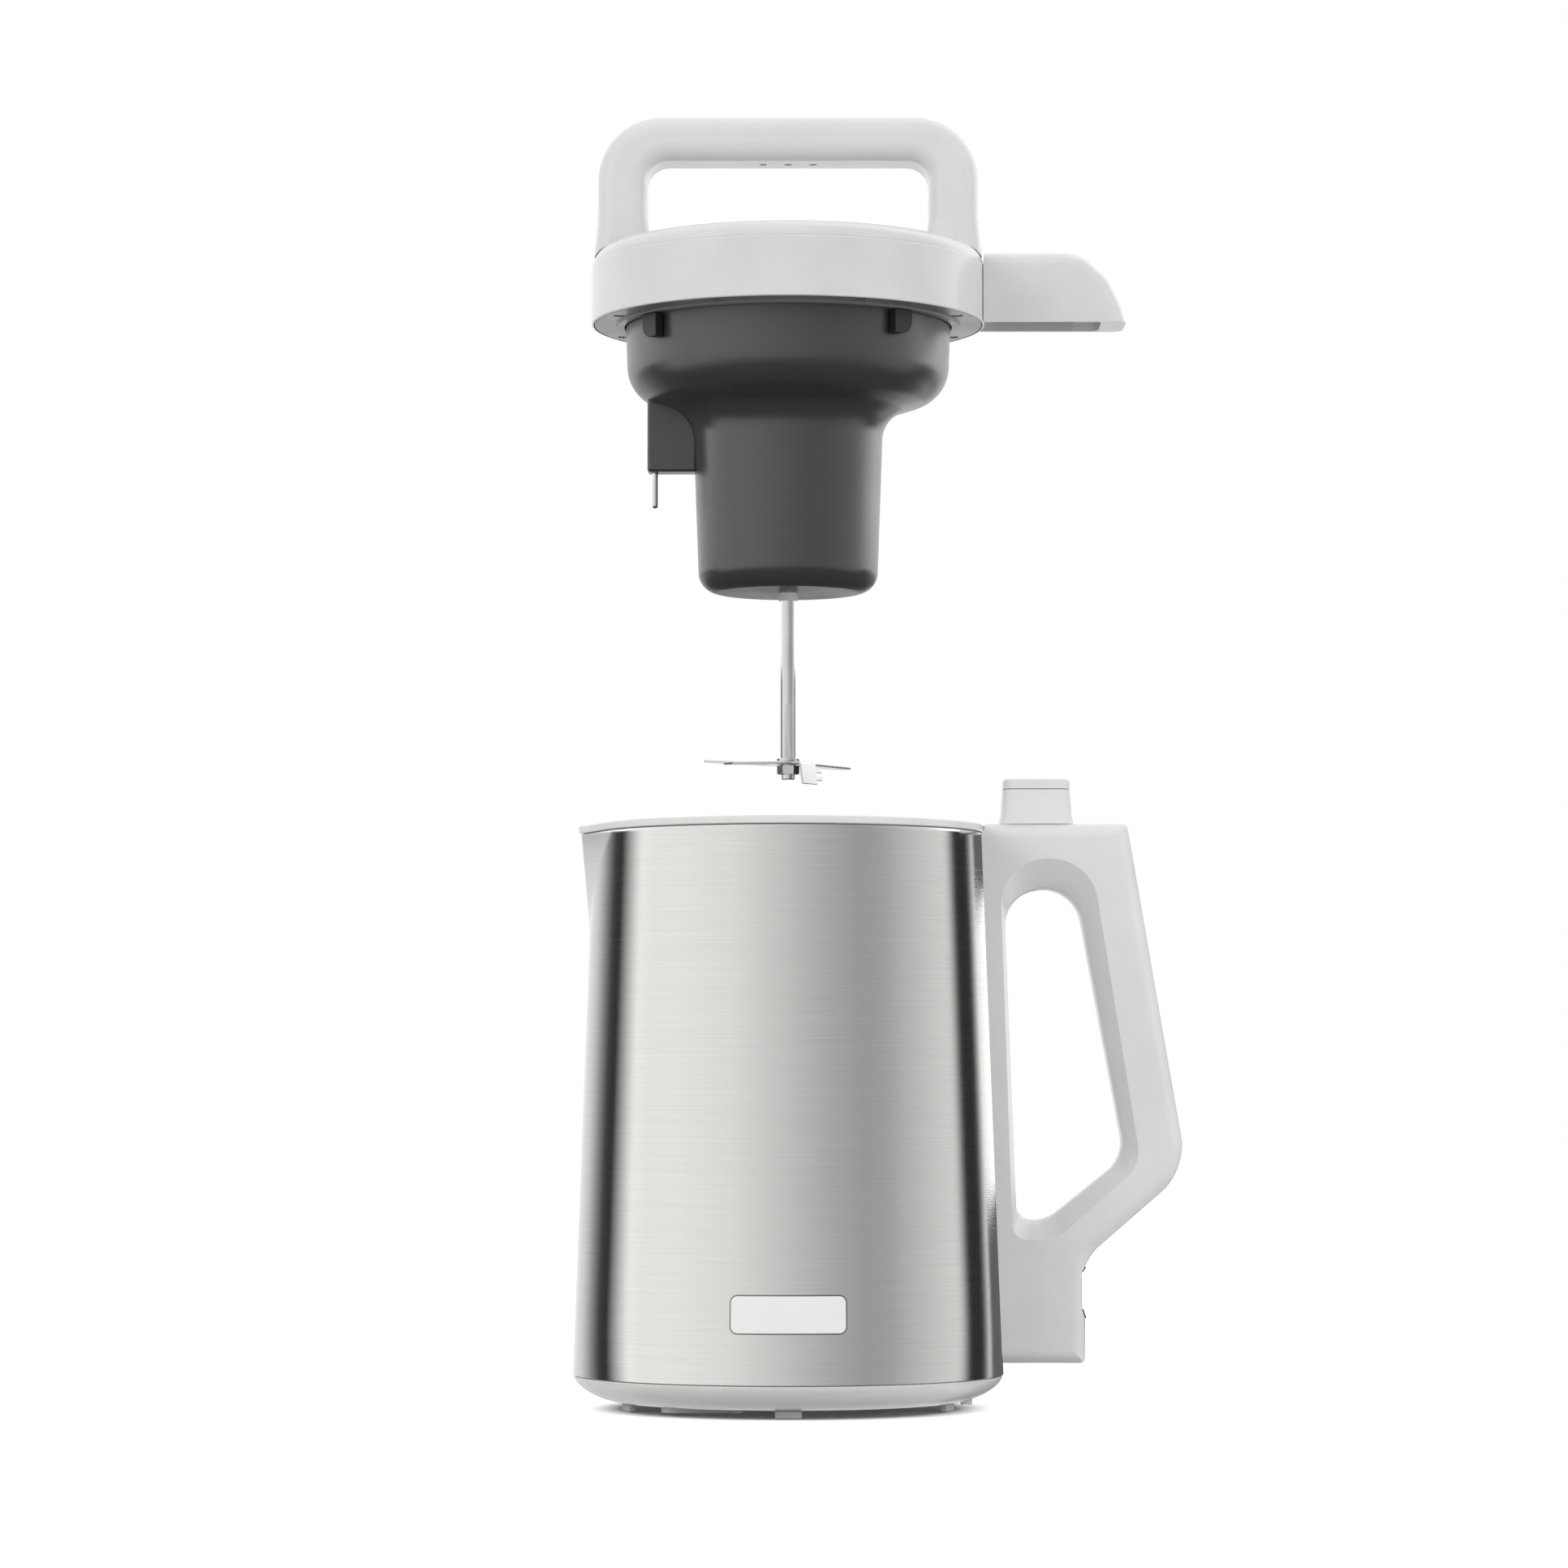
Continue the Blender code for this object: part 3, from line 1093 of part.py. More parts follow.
def make_controls(head, finishes):
    """The panel in the top of the carry handle, and its push-buttons, held under it by their flanges."""
    top = CARRY_TOP - PANEL_SET_BACK
    under = top - PANEL_THICKNESS
    panel = piece("control_panel", slab(panel_corners(), under, top, "plan"), finishes["glossy"], head)
    corners = box_corners(BUTTON_LENGTH, BUTTON_WIDTH, BUTTON_CORNER)
    flange_top = -PANEL_THICKNESS - GAP
    flange_low = flange_top - BUTTON_FLANGE_HEIGHT
    board_top = CARRY_TOP - POCKET_DEPTH + GAP + BOARD_THICKNESS - top
    stem_low = board_top + BUTTON_TRAVEL + GAP
    layers = [
        (stem_low, -BUTTON_STEM_INSET),
        (flange_low, -BUTTON_STEM_INSET),
        (flange_low, BUTTON_FLANGE),
        (flange_top, BUTTON_FLANGE),
        (flange_top, 0),
        (-BUTTON_CROWN, 0),
        (0, -BUTTON_CROWN),
    ]
    for number in range(BUTTON_COUNT):
        across = BUTTON_SPACING * (number - (BUTTON_COUNT - 1) / 2)
        hole = slab(corners, under - OVERRUN, top + OVERRUN, "plan", GAP, PLAIN_CORNER_STEPS)
        combine(panel, hole, "DIFFERENCE", f"button_hole_{number + 1}", (across, 0, 0))
        bm = stepped(corners, layers, "plan", PLAIN_CORNER_STEPS)
        piece(f"button_{number + 1}", bm, finishes["button"], head, (across, 0, top))


def make_power_board(head, finishes):
    """The board that switches motor and heater, resting on the housing's lip inside the lid."""
    low = FLANGE_HEIGHT + GASKET_HEIGHT + HOUSING_LIP_HEIGHT + 3 * GAP
    top = low + POWER_BOARD_THICKNESS
    length = COLLAR_RADIUS * POWER_BOARD_LENGTH_SHARE
    width = COLLAR_RADIUS * POWER_BOARD_WIDTH_SHARE
    corners = box_corners(length, width, POWER_BOARD_CORNER)
    bm = slab(corners, low, top, "plan", steps=PLAIN_CORNER_STEPS)
    board = piece("power_board", bm, finishes["board"], head)
    for number, (size, shares) in enumerate(zip(COMPONENT_SIZES, COMPONENT_PLACE_SHARES), start=1):
        block = box_corners(size[0], size[1], COMPONENT_CORNER)
        bm = slab(block, low + POWER_BOARD_THICKNESS / 2, top + size[2], "plan", steps=PLAIN_CORNER_STEPS)
        combine(board, bm, "UNION", f"component_{number}", (length * shares[0], width * shares[1], 0))


def make_motor(head, finishes):
    """The motor inside the barrel, from its rubber buffer up to the end bell, and the shaft's bush below."""
    bore = SHAFT_RADIUS + RUNNING_GAP
    floor = HOUSING_WALL - HOUSING_DEPTH
    bm = tube(bush_radius(), bore, -HOUSING_DEPTH - BUSH_DROP, floor + BUSH_RISE, SMALL_STEPS)
    piece("shaft_bush", bm, finishes["nylon"], head)
    buffer = BARREL_END_RADIUS - BARREL_CORNER
    bm = tube(buffer, buffer - BUFFER_WIDTH, floor + GAP, floor + GAP + BUFFER_HEIGHT, SMALL_STEPS)
    piece("motor_buffer", bm, finishes["seal"], head)
    can_low = can_bottom()
    can_top = can_low + CAN_HEIGHT
    inner = MOTOR_RADIUS - CAN_WALL
    hole = (bore + BEARING_RADIUS) / 2
    can_floor = can_low + CAN_WALL
    section = [(MOTOR_RADIUS, can_top), (MOTOR_RADIUS, can_low), (hole, can_low)]
    section += [(hole, can_floor), (inner, can_floor), (inner, can_top)]
    piece("motor_can", turned(section, SMALL_STEPS, closed=True), finishes["motor"], head)
    low = can_floor + GAP
    bm = tube(BEARING_RADIUS, bore, low, low + BEARING_HEIGHT, SMALL_STEPS)
    piece("lower_bearing", bm, finishes["bright"], head)
    stator = inner - GAP
    low = can_low + STATOR_RISE
    bm = tube(stator, stator - STATOR_WIDTH, low, low + STATOR_HEIGHT, SMALL_STEPS)
    piece("stator", bm, finishes["core"], head)
    low = can_top + GAP
    bm = tube(MOTOR_RADIUS, BEARING_RADIUS + GAP, low, low + BELL_HEIGHT, SMALL_STEPS)
    piece("end_bell", bm, finishes["motor"], head)
    bm = tube(BEARING_RADIUS, bore, low, low + BEARING_HEIGHT, SMALL_STEPS)
    piece("upper_bearing", bm, finishes["bright"], head)
    brush_inner = COMMUTATOR_RADIUS + RUNNING_GAP
    brush_length = inner - GAP - brush_inner
    brush = box_corners(brush_length, BRUSH_WIDTH, BRUSH_CORNER, brush_inner + brush_length / 2)
    brush_top = low - GAP * 2
    for number, turn in enumerate((0, math.pi), start=1):
        bm = slab(brush, brush_top - BRUSH_HEIGHT, brush_top, "plan", -BRUSH_CORNER / 2, steps=1)
        piece(f"carbon_brush_{number}", bm, finishes["carbon"], head, turn=turn)


def can_bottom():
    return HOUSING_WALL - HOUSING_DEPTH + BUFFER_HEIGHT + 2 * GAP


def rotor_radius():
    return MOTOR_RADIUS - CAN_WALL - GAP - STATOR_WIDTH - AIR_GAP


def make_rotor(spindle, finishes):
    bore = SHAFT_RADIUS + GAP
    radius = rotor_radius()
    winding = radius - WINDING_INSET
    low = can_bottom() + STATOR_RISE
    high = low + STATOR_HEIGHT
    section = [
        (bore, low - WINDING_HEIGHT),
        (winding, low - WINDING_HEIGHT),
        (winding, low),
        (radius, low),
        (radius, high),
        (winding, high),
        (winding, high + WINDING_HEIGHT),
        (COMMUTATOR_RADIUS, high + WINDING_HEIGHT),
        (COMMUTATOR_RADIUS, high + WINDING_HEIGHT + COMMUTATOR_HEIGHT),
        (bore, high + WINDING_HEIGHT + COMMUTATOR_HEIGHT),
    ]
    piece("rotor", turned(section, SMALL_STEPS, closed=True), finishes["copper"], spindle)


def fan_bottom():
    return can_bottom() + CAN_HEIGHT + GAP + BEARING_HEIGHT + FAN_GAP


def make_fan(spindle, finishes):
    """The cooling fan: a plate and hub with straight vanes standing on it."""
    low = fan_bottom()
    plate = low + FAN_PLATE
    high = low + FAN_HEIGHT
    bore = SHAFT_RADIUS + GAP
    section = [(bore, low), (FAN_RADIUS, low), (FAN_RADIUS, plate), (FAN_HUB_RADIUS, plate)]
    section += [(FAN_HUB_RADIUS, high), (bore, high)]
    fan = piece("cooling_fan", turned(section, SMALL_STEPS, closed=True), finishes["black"], spindle)
    inner = (FAN_HUB_RADIUS + bore) / 2
    tip = FAN_RADIUS - FAN_PLATE
    spread = FAN_BLADE_ANGLE * tip / inner
    points = []
    for number in range(FAN_BLADES):
        angle = math.tau * number / FAN_BLADES
        spots = ((inner, -spread), (tip, -FAN_BLADE_ANGLE), (tip, FAN_BLADE_ANGLE), (inner, spread))
        turns = [(radius, angle + aside) for radius, aside in spots]
        points += [(radius * math.cos(turn), radius * math.sin(turn)) for radius, turn in turns]
    vanes = lofted([(low + FAN_PLATE / 2, points), (high - FAN_PLATE, points)], "plan")
    combine(fan, vanes, "UNION", "vanes")
    combine(fan, disc(bore, low - OVERRUN, high + OVERRUN), "DIFFERENCE", "bore")


def shoulder_height():
    return -HOUSING_DEPTH - SHAFT_SHOULDER


def make_shaft(spindle, finishes):
    """One steel shaft through motor, bush and blade, necked down for the blade."""
    top = fan_bottom() + FAN_HEIGHT + SHAFT_TOP_RISE
    shoulder = shoulder_height()
    end = -HOUSING_DEPTH - SHAFT_REACH
    section = [
        (0, top),
        (SHAFT_RADIUS - SHAFT_CHAMFER, top),
        (SHAFT_RADIUS, top - SHAFT_CHAMFER),
        (SHAFT_RADIUS, shoulder),
        (SHAFT_NECK_RADIUS, shoulder),
        (SHAFT_NECK_RADIUS, end + SHAFT_CHAMFER),
        (SHAFT_NECK_RADIUS - SHAFT_CHAMFER, end),
        (0, end),
    ]
    piece("drive_shaft", turned(section, SMALL_STEPS), finishes["bright"], spindle)


def wing_points(angle, spots):
    """Plan points of a wing, given along and beside its own line."""
    turn = Matrix.Rotation(angle, 2)
    return [turn @ Vector(spot) for spot in spots]


def stub_spots():
    """The short wing's outline, with square teeth cut in its trailing edge."""
    root = STUB_HALF_WIDTH
    tip = root + TOOTH_DEPTH
    spots = [(STUB_REACH, -root), (STUB_REACH, root)]
    for number in range(TOOTH_COUNT):
        outer = STUB_REACH - STUB_TIP - TOOTH_PITCH * number
        inner = outer - TOOTH_WIDTH
        spots += [(outer, root), (outer, tip), (inner, tip), (inner, root)]
    return spots


def fold(bm, angle, reach, bend):
    """Bend a wing of the flat blank about a line across it."""
    along = Vector((math.cos(angle), math.sin(angle), 0))
    across = Vector((-math.sin(angle), math.cos(angle), 0))
    line = along * reach
    geometry = bm.verts[:] + bm.edges[:] + bm.faces[:]
    bmesh.ops.bisect_plane(bm, geom=geometry, dist=WELD, plane_co=line, plane_no=along)
    outer = [vert for vert in bm.verts if (vert.co - line).dot(along) > WELD]
    bmesh.ops.rotate(bm, verts=outer, cent=line, matrix=Matrix.Rotation(bend, 3, across))


def make_blade(spindle, finishes):
    """A stamped four-wing blade: a flat blank whose wings are bent, one short and toothed, folded down."""
    tip = [(BLADE_REACH - BLADE_SWEEP, -BLADE_TIP_HALF), (BLADE_REACH, BLADE_TIP_HALF)]
    wings = [(angle, tip, BLADE_BEND, bend) for angle, bend in zip(WING_ANGLES, WING_BENDS)]
    wings.append((STUB_ANGLE, stub_spots(), STUB_BEND_REACH, STUB_BEND))
    blank = []
    for angle, spots, _, _ in sorted(wings):
        blank += wing_points(angle, [(BLADE_ROOT, -BLADE_ROOT), *spots])
    bm = bmesh.new()
    bm.faces.new([bm.verts.new((*point, 0)) for point in blank])
    for angle, _, reach, bend in wings:
        fold(bm, angle, reach, bend)
    middle = shoulder_height() - WASHER_HEIGHT - 2 * GAP - BLADE_THICKNESS / 2
    blade = piece("blade", bm, finishes["bright"], spindle, (0, 0, middle))
    plate = blade.modifiers.new("plate", "SOLIDIFY")
    plate.thickness = BLADE_THICKNESS
    plate.offset = 0
    plate.use_even_offset = True
    hole = disc(SHAFT_NECK_RADIUS + GAP, -OVERRUN, OVERRUN, TINY_STEPS)
    combine(blade, hole, "DIFFERENCE", "shaft_hole", (0, 0, middle))


def make_fastening(spindle, finishes):
    """The washer above the blade and the nut below it."""
    bore = SHAFT_NECK_RADIUS + GAP
    washer_top = shoulder_height() - GAP
    washer_low = washer_top - WASHER_HEIGHT
    bm = tube(WASHER_RADIUS, bore, washer_low, washer_top, TINY_STEPS)
    piece("blade_washer", bm, finishes["bright"], spindle)
    nut_top = washer_low - 2 * GAP - BLADE_THICKNESS
    nut_low = nut_top - NUT_HEIGHT
    corner = NUT_FLATS / math.sqrt(3)
    nut = piece("blade_nut", disc(corner, nut_low, nut_top, NUT_CORNERS), finishes["bright"], spindle)
    combine(nut, disc(bore, nut_low - OVERRUN, nut_top + OVERRUN, TINY_STEPS), "DIFFERENCE", "bore")


def jug_axis_place():
    """Where the jug's axis stands, so that the middle of the object's length is at the origin."""
    spout = RIM_RADIUS + SPOUT_REACH
    elbow = max(point.x for point in outline(handle_corners()))
    return ((max(spout, JUG_BASE_RADIUS) - elbow) / 2, 0, 0)


def make_jug(root, finishes):
    make_jug_wall(root, finishes)
    make_rim_ring(root, finishes)
    make_inner_bowl(root, finishes)
    make_base_cover(root, finishes)
    make_feet(root, finishes)
    make_heater(root, finishes)
    make_handle(root, finishes)
    make_inlet(root, finishes)
    make_post(root, finishes)


def make_head(head, finishes):
    make_lid_band(head, finishes)
    make_lid_top(head, finishes)
    make_flange(head, finishes)
    make_housing(head, finishes)
    make_tabs(head, finishes)
    make_arm(head, finishes)
    make_carry_handle(head, finishes)
    make_controls(head, finishes)
    make_power_board(head, finishes)
    make_motor(head, finishes)


def make_spindle(spindle, finishes):
    make_rotor(spindle, finishes)
    make_fan(spindle, finishes)
    make_shaft(spindle, finishes)
    make_blade(spindle, finishes)
    make_fastening(spindle, finishes)


def main():
    clear_scene()
    finishes = make_finishes()
    root = axis_empty("jug_axis", None, jug_axis_place())
    head = axis_empty("head_seat", root, (0, 0, HEAD_HEIGHT))
    spindle = axis_empty("blade_axis", head, (0, 0, 0))
    make_jug(root, finishes)
    make_head(head, finishes)
    make_spindle(spindle, finishes)


main()
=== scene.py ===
"""Looks of a heated jug blender whose motor head is lifted off its steel jug.

Lengths are metres, and angles are radians where their names don't say degrees. Shapes are drawn
about the jug's axis, the jug's from the floor and the head's from the lid's lower edge, and are
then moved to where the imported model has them.
"""

import json
import logging
import math
from dataclasses import dataclass
from enum import Enum
from typing import Callable, Iterable, Optional, Sequence, Union

import bmesh
import bpy
from mathutils import Matrix, Vector

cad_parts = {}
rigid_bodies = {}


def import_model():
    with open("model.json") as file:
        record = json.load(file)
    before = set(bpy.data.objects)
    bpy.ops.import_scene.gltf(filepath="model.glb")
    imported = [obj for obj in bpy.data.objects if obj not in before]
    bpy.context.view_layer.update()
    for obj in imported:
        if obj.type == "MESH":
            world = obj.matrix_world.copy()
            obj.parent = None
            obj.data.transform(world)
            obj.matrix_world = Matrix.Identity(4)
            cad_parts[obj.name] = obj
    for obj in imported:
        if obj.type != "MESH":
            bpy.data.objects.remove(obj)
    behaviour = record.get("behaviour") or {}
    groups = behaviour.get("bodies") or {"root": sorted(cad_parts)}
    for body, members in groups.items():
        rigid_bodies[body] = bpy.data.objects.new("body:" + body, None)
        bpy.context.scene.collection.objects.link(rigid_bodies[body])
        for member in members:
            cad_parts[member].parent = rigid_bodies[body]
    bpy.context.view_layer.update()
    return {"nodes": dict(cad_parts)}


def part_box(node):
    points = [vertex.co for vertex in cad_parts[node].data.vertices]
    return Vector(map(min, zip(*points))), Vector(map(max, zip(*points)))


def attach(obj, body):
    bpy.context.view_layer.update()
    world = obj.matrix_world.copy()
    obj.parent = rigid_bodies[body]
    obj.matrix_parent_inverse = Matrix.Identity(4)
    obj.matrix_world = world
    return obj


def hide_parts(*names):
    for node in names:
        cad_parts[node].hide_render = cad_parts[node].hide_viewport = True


for startup in list(bpy.data.objects):
    bpy.data.objects.remove(startup)
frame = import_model()

# A corner is across, up and its radius; a size is length, width and corner radius; a ring is its
# distance, corners and growth.
Point = tuple[float, float]
Corner = tuple[float, float, float]
Size = tuple[float, float, float]
Ring = tuple[float, Sequence[Corner], float]
Colour = tuple[float, float, float]
Socket = bpy.types.NodeSocket
Input = Union[Socket, float, Sequence[float]]

LOG = logging.getLogger("scene")
WHITE = (1, 1, 1, 1)
SEGMENTS = 192
SMALL_SEGMENTS = 64
ROD_SEGMENTS = 48
PIN_SEGMENTS = 32
STAGE_SEGMENTS = 96
CORNER_STEPS = 10
EDGE_STEPS = 8
LEAST_RADIUS = 0.0002
WELD = 0.000001
OVERRUN = 0.004
GAP = 0.0003
SHARP_ANGLE = math.radians(32)
STAMPED_ANGLE = math.radians(40)
MOULDED_ANGLE = math.radians(50)
WALL_ANGLE = math.radians(60)
THREE = (-1, 0, 1)


def middle(low: Vector, high: Vector) -> Vector:
    """Return the middle of a box."""
    return (low + high) / 2


JUG_AXIS = Vector((middle(*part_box("drive_shaft")).x, 0, 0))
HEAD_SEAT = Vector((JUG_AXIS.x, 0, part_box("lid_band")[0].z))


class Plane(Enum):
    """The plane that an outline is drawn in, as the matrix that stands it up."""

    PLAN = Matrix(((1, 0, 0), (0, 1, 0), (0, 0, 1)))
    FRONT = Matrix(((1, 0, 0), (0, 0, 1), (0, 1, 0)))
    SIDE = Matrix(((0, 0, 1), (1, 0, 0), (0, 1, 0)))


class Cut(Enum):
    """What a second shape does to the first."""

    AWAY = "DIFFERENCE"
    JOIN = "UNION"


class Body(Enum):
    """The bodies that move apart."""

    JUG = "jug"
    HEAD = "head"
    SPINDLE = "spindle"


def placed(name: str, data: bpy.types.ID) -> bpy.types.Object:
    """Put new data into the scene.

    Args:
        name: the object's name.
        data: its mesh, light or camera.

    Returns:
        The object.
    """
    thing = bpy.data.objects.new(name, data)
    bpy.context.scene.collection.objects.link(thing)
    return thing


def quarter(steps: int) -> list[float]:
    """Return the angles of a quarter turn in equal steps."""
    return [math.pi / 2 * step / steps for step in range(steps + 1)]


def arc(centre: Point, radius: float, start: float, end: float, steps: int) -> list[Point]:
    """Work out the points of a round stretch of a profile.

    Args:
        centre: the middle of the circle.
        radius: its radius.
        start: the angle of the first point.
        end: the angle of the last point.
        steps: steps between them.

    Returns:
        The points.
    """
    turns = [start + (end - start) * step / steps for step in range(steps + 1)]
    across, up = centre
    return [(across + radius * math.cos(turn), up + radius * math.sin(turn)) for turn in turns]


def box_corners(
    length: float, width: float, radius: float, across: float = 0.0, up: float = 0.0
) -> list[Corner]:
    """Return the corners of a rectangle.

    Args:
        length: its size across.
        width: its size upwards.
        radius: its corners' radius.
        across: where its middle is across.
        up: where its middle is upwards.

    Returns:
        The corners, counter-clockwise.
    """
    left, right = across - length / 2, across + length / 2
    low, high = up - width / 2, up + width / 2
    return [(left, low, radius), (right, low, radius), (right, high, radius), (left, high, radius)]


class Graph:
    """A node tree that is put together node by node."""

    PATTERN_MIDDLE: Point = (0.3, 0.7)

    def __init__(self, tree: bpy.types.NodeTree) -> None:
        """Keep the tree."""
        self.tree = tree

    def feed(self, target: Socket, value: Input) -> None:
        """Join a socket to an input, or set the input's own value.

        Args:
            target: the input.
            value: the socket or the value.
        """
        if isinstance(value, Socket):
            self.tree.links.new(value, target)
        else:
            target.default_value = value

    def add(
        self, kind: str, inputs: Optional[dict[str | int, Input]] = None, **settings: str
    ) -> bpy.types.Node:
        """Add a node.

        Args:
            kind: its type, without the words that all shader nodes start with.
            inputs: what each input is joined to or set to.
            settings: the node's own settings.

        Returns:
            The node.
        """
        node = self.tree.nodes.new(f"ShaderNode{kind}")
        for setting, choice in settings.items():
            setattr(node, setting, choice)
        for name, value in (inputs or {}).items():
            self.feed(node.inputs[name], value)
        return node

    def spread(self, value: Socket, source: Point, result: Point) -> Socket:
        """Map a value from one range to another.

        Args:
            value: the value's socket.
            source: the range that it has.
            result: the range that it gets.

        Returns:
            The mapped value's socket.
        """
        limits = zip(("From Min", "From Max", "To Min", "To Max"), (*source, *result))
        return self.add("MapRange", {"Value": value, **dict(limits)}).outputs["Result"]

    def vary(self, pattern: Socket, low: float, high: float) -> Socket:
        """Spread a pattern's middle values over a range."""
        return self.spread(pattern, self.PATTERN_MIDDLE, (low, high))

    def noise(self, stretch: Corner, detail: float = 3.0) -> Socket:
        """Add a noise pattern fixed to the object.

        Args:
            stretch: how many features lie in a metre along X, Y and Z.
            detail: how many finer layers the pattern has.

        Returns:
            The pattern's value socket.
        """
        place = self.add("TexCoord").outputs["Object"]
        mapped = self.add("Mapping", {"Vector": place, "Scale": stretch}).outputs["Vector"]
        return self.add("TexNoise", {"Vector": mapped, "Scale": 1, "Detail": detail}).outputs["Fac"]

    def greater(self, first: Socket, second: Socket) -> Socket:
        """Add a node that keeps the greater of two values."""
        return self.add("Math", {0: first, 1: second}, operation="MAXIMUM").outputs[0]

    def length(self, place: Socket) -> Socket:
        """Add a node that measures how far a place is from the origin."""
        return self.add("VectorMath", {0: place}, operation="LENGTH").outputs["Value"]

    def glow(self, strength: float) -> bpy.types.Node:
        """Add a light of its own."""
        return self.add("Emission", {"Strength": strength})

    def blend(self, share: Socket, first: Socket, second: Socket) -> Socket:
        """Add a mix of two shaders."""
        return self.add("MixShader", {"Fac": share, 1: first, 2: second}).outputs[0]


class Surface(Graph):
    """A material's nodes round its Principled shader."""

    def __init__(self, name: str) -> None:
        """Start a material.

        Args:
            name: its name.
        """
        self.material = bpy.data.materials.new(name)
        self.material.use_nodes = True
        super().__init__(self.material.node_tree)
        self.shader = self.tree.nodes["Principled BSDF"]

    def set(self, **values: Input) -> None:
        """Set or join the shader's inputs, named with lines for spaces.

        Args:
            values: the value or socket of each input.
        """
        for name, value in values.items():
            self.feed(self.shader.inputs[name.replace("_", " ")], value)

    def tint(self, pattern: Socket, low: Colour, high: Colour) -> None:
        """Let the base colour run between two colours with a pattern.

        Args:
            pattern: the pattern's value socket.
            low: the colour where the pattern is low.
            high: the colour where the pattern is high.
        """
        share = self.vary(pattern, 0, 1)
        mix = self.add("Mix", {0: share, 6: (*low, 1), 7: (*high, 1)}, data_type="RGBA")
        self.set(Base_Color=mix.outputs[2])

    def bump(self, pattern: Socket, depth: float) -> None:
        """Raise the surface by a pattern, to a depth in metres."""
        bump = self.add("Bump", {"Height": pattern, "Distance": depth})
        self.set(Normal=bump.outputs["Normal"])

    def show(self, shader: Socket) -> None:
        """Show a shader in place of the Principled one."""
        self.feed(self.tree.nodes["Material Output"].inputs["Surface"], shader)

    def stay_unsampled(self) -> None:
        """Keep the surface's glow from lighting the object as a lamp does."""
        self.material.cycles.emission_sampling = "NONE"


@dataclass(frozen=True)
class Finish:
    """What every finish has: a name, a material slot of the record, a colour and a roughness."""

    name: str
    slot: str
    colour: Colour
    roughness: float

    def start(self, metallic: float) -> Surface:
        """Start the material with its plain values.

        Args:
            metallic: how far it is a metal, from 0 to 1.

        Returns:
            The material's nodes.
        """
        surface = Surface(self.name)
        surface.set(Base_Color=(*self.colour, 1), Roughness=self.roughness, Metallic=metallic)
        return surface

    def shaded(self, share: float) -> Colour:
        """Return the colour made lighter or darker by a share."""
        return tuple(min(channel * (1 + share), 1.0) for channel in self.colour)

    def wear(self, surface: Surface, pattern: Socket, smoother: float, rougher: float) -> None:
        """Let the roughness vary with a pattern.

        Args:
            surface: the material's nodes.
            pattern: the pattern's value socket.
            smoother: how far the roughness falls.
            rougher: how far it rises.
        """
        rough = surface.vary(pattern, self.roughness - smoother, self.roughness + rougher)
        surface.set(Roughness=rough)


@dataclass(frozen=True)
class Moulded(Finish):
    """Moulded plastic or rubber with a fine grain and uneven sheen."""

    grain: float = 1800.0
    depth: float = 0.000006
    unevenness: float = 0.03
    specular: float = 0.5
    clouds: float = 38.0
    grain_detail: float = 2.0
    smoother: float = 0.03
    rougher: float = 0.04

    def make(self) -> bpy.types.Material:
        """Make the finish.

        Returns:
            The material.
        """
        surface = self.start(0)
        surface.set(Specular_IOR_Level=self.specular)
        clouds = surface.noise((self.clouds,) * 3)
        surface.tint(clouds, self.shaded(-self.unevenness), self.shaded(self.unevenness))
        self.wear(surface, clouds, self.smoother, self.rougher)
        surface.bump(surface.noise((self.grain,) * 3, self.grain_detail), self.depth)
        return surface.material


@dataclass(frozen=True)
class Brushed(Finish):
    """Metal brushed along the level, with long scratches round the wall."""

    along: float = 24.0
    across: float = 4200.0
    depth: float = 0.000022
    contrast: float = 0.04
    broadness: float = 1.6
    broad_detail: float = 6.0
    fine_detail: float = 5.0
    smoother: float = 0.03
    rougher: float = 0.05

    def make(self) -> bpy.types.Material:
        """Make the finish.

        Returns:
            The material.
        """
        surface = self.start(1)
        stretch = (self.along, self.along, self.across / self.broadness)
        broad = surface.noise(stretch, self.broad_detail)
        fine = surface.noise((self.along * 2, self.along * 2, self.across), self.fine_detail)
        surface.tint(broad, self.shaded(-self.contrast), self.shaded(self.contrast))
        self.wear(surface, fine, self.smoother, self.rougher)
        surface.bump(fine, self.depth)
        return surface.material


@dataclass(frozen=True)
class Metal(Finish):
    """Plain metal with faint clouds and a fine drawn or cast grain."""

    grain: float = 700.0
    depth: float = 0.000004
    metallic: float = 1.0
    clouds: float = 90.0
    darker: float = 0.06
    lighter: float = 0.05
    smoother: float = 0.03
    rougher: float = 0.05

    def make(self) -> bpy.types.Material:
        """Make the finish.

        Returns:
            The material.
        """
        surface = self.start(self.metallic)
        clouds = surface.noise((self.clouds,) * 3)
        surface.tint(clouds, self.shaded(-self.darker), self.shaded(self.lighter))
        self.wear(surface, clouds, self.smoother, self.rougher)
        surface.bump(surface.noise((self.grain,) * 3), self.depth)
        return surface.material


@dataclass(frozen=True)
class Wound(Finish):
    """Enamelled copper wire, as fine ridges across the winding, with painted shade in the grooves
    and a painted highlight on the ridges.
    """

    wires: Corner = (2600.0, 2600.0, 60.0)
    detail: float = 2.0
    depth: float = 0.0002
    darker: float = 0.3
    lighter: float = 0.2

    def make(self) -> bpy.types.Material:
        """Make the finish.

        Returns:
            The material.
        """
        surface = self.start(1)
        wire = surface.noise(self.wires, self.detail)
        # The colour follows the bump's pattern: darker in the grooves as painted shade, lighter on
        # the ridges as a painted highlight.
        surface.tint(wire, self.shaded(-self.darker), self.shaded(self.lighter))
        surface.bump(wire, self.depth)
        return surface.material


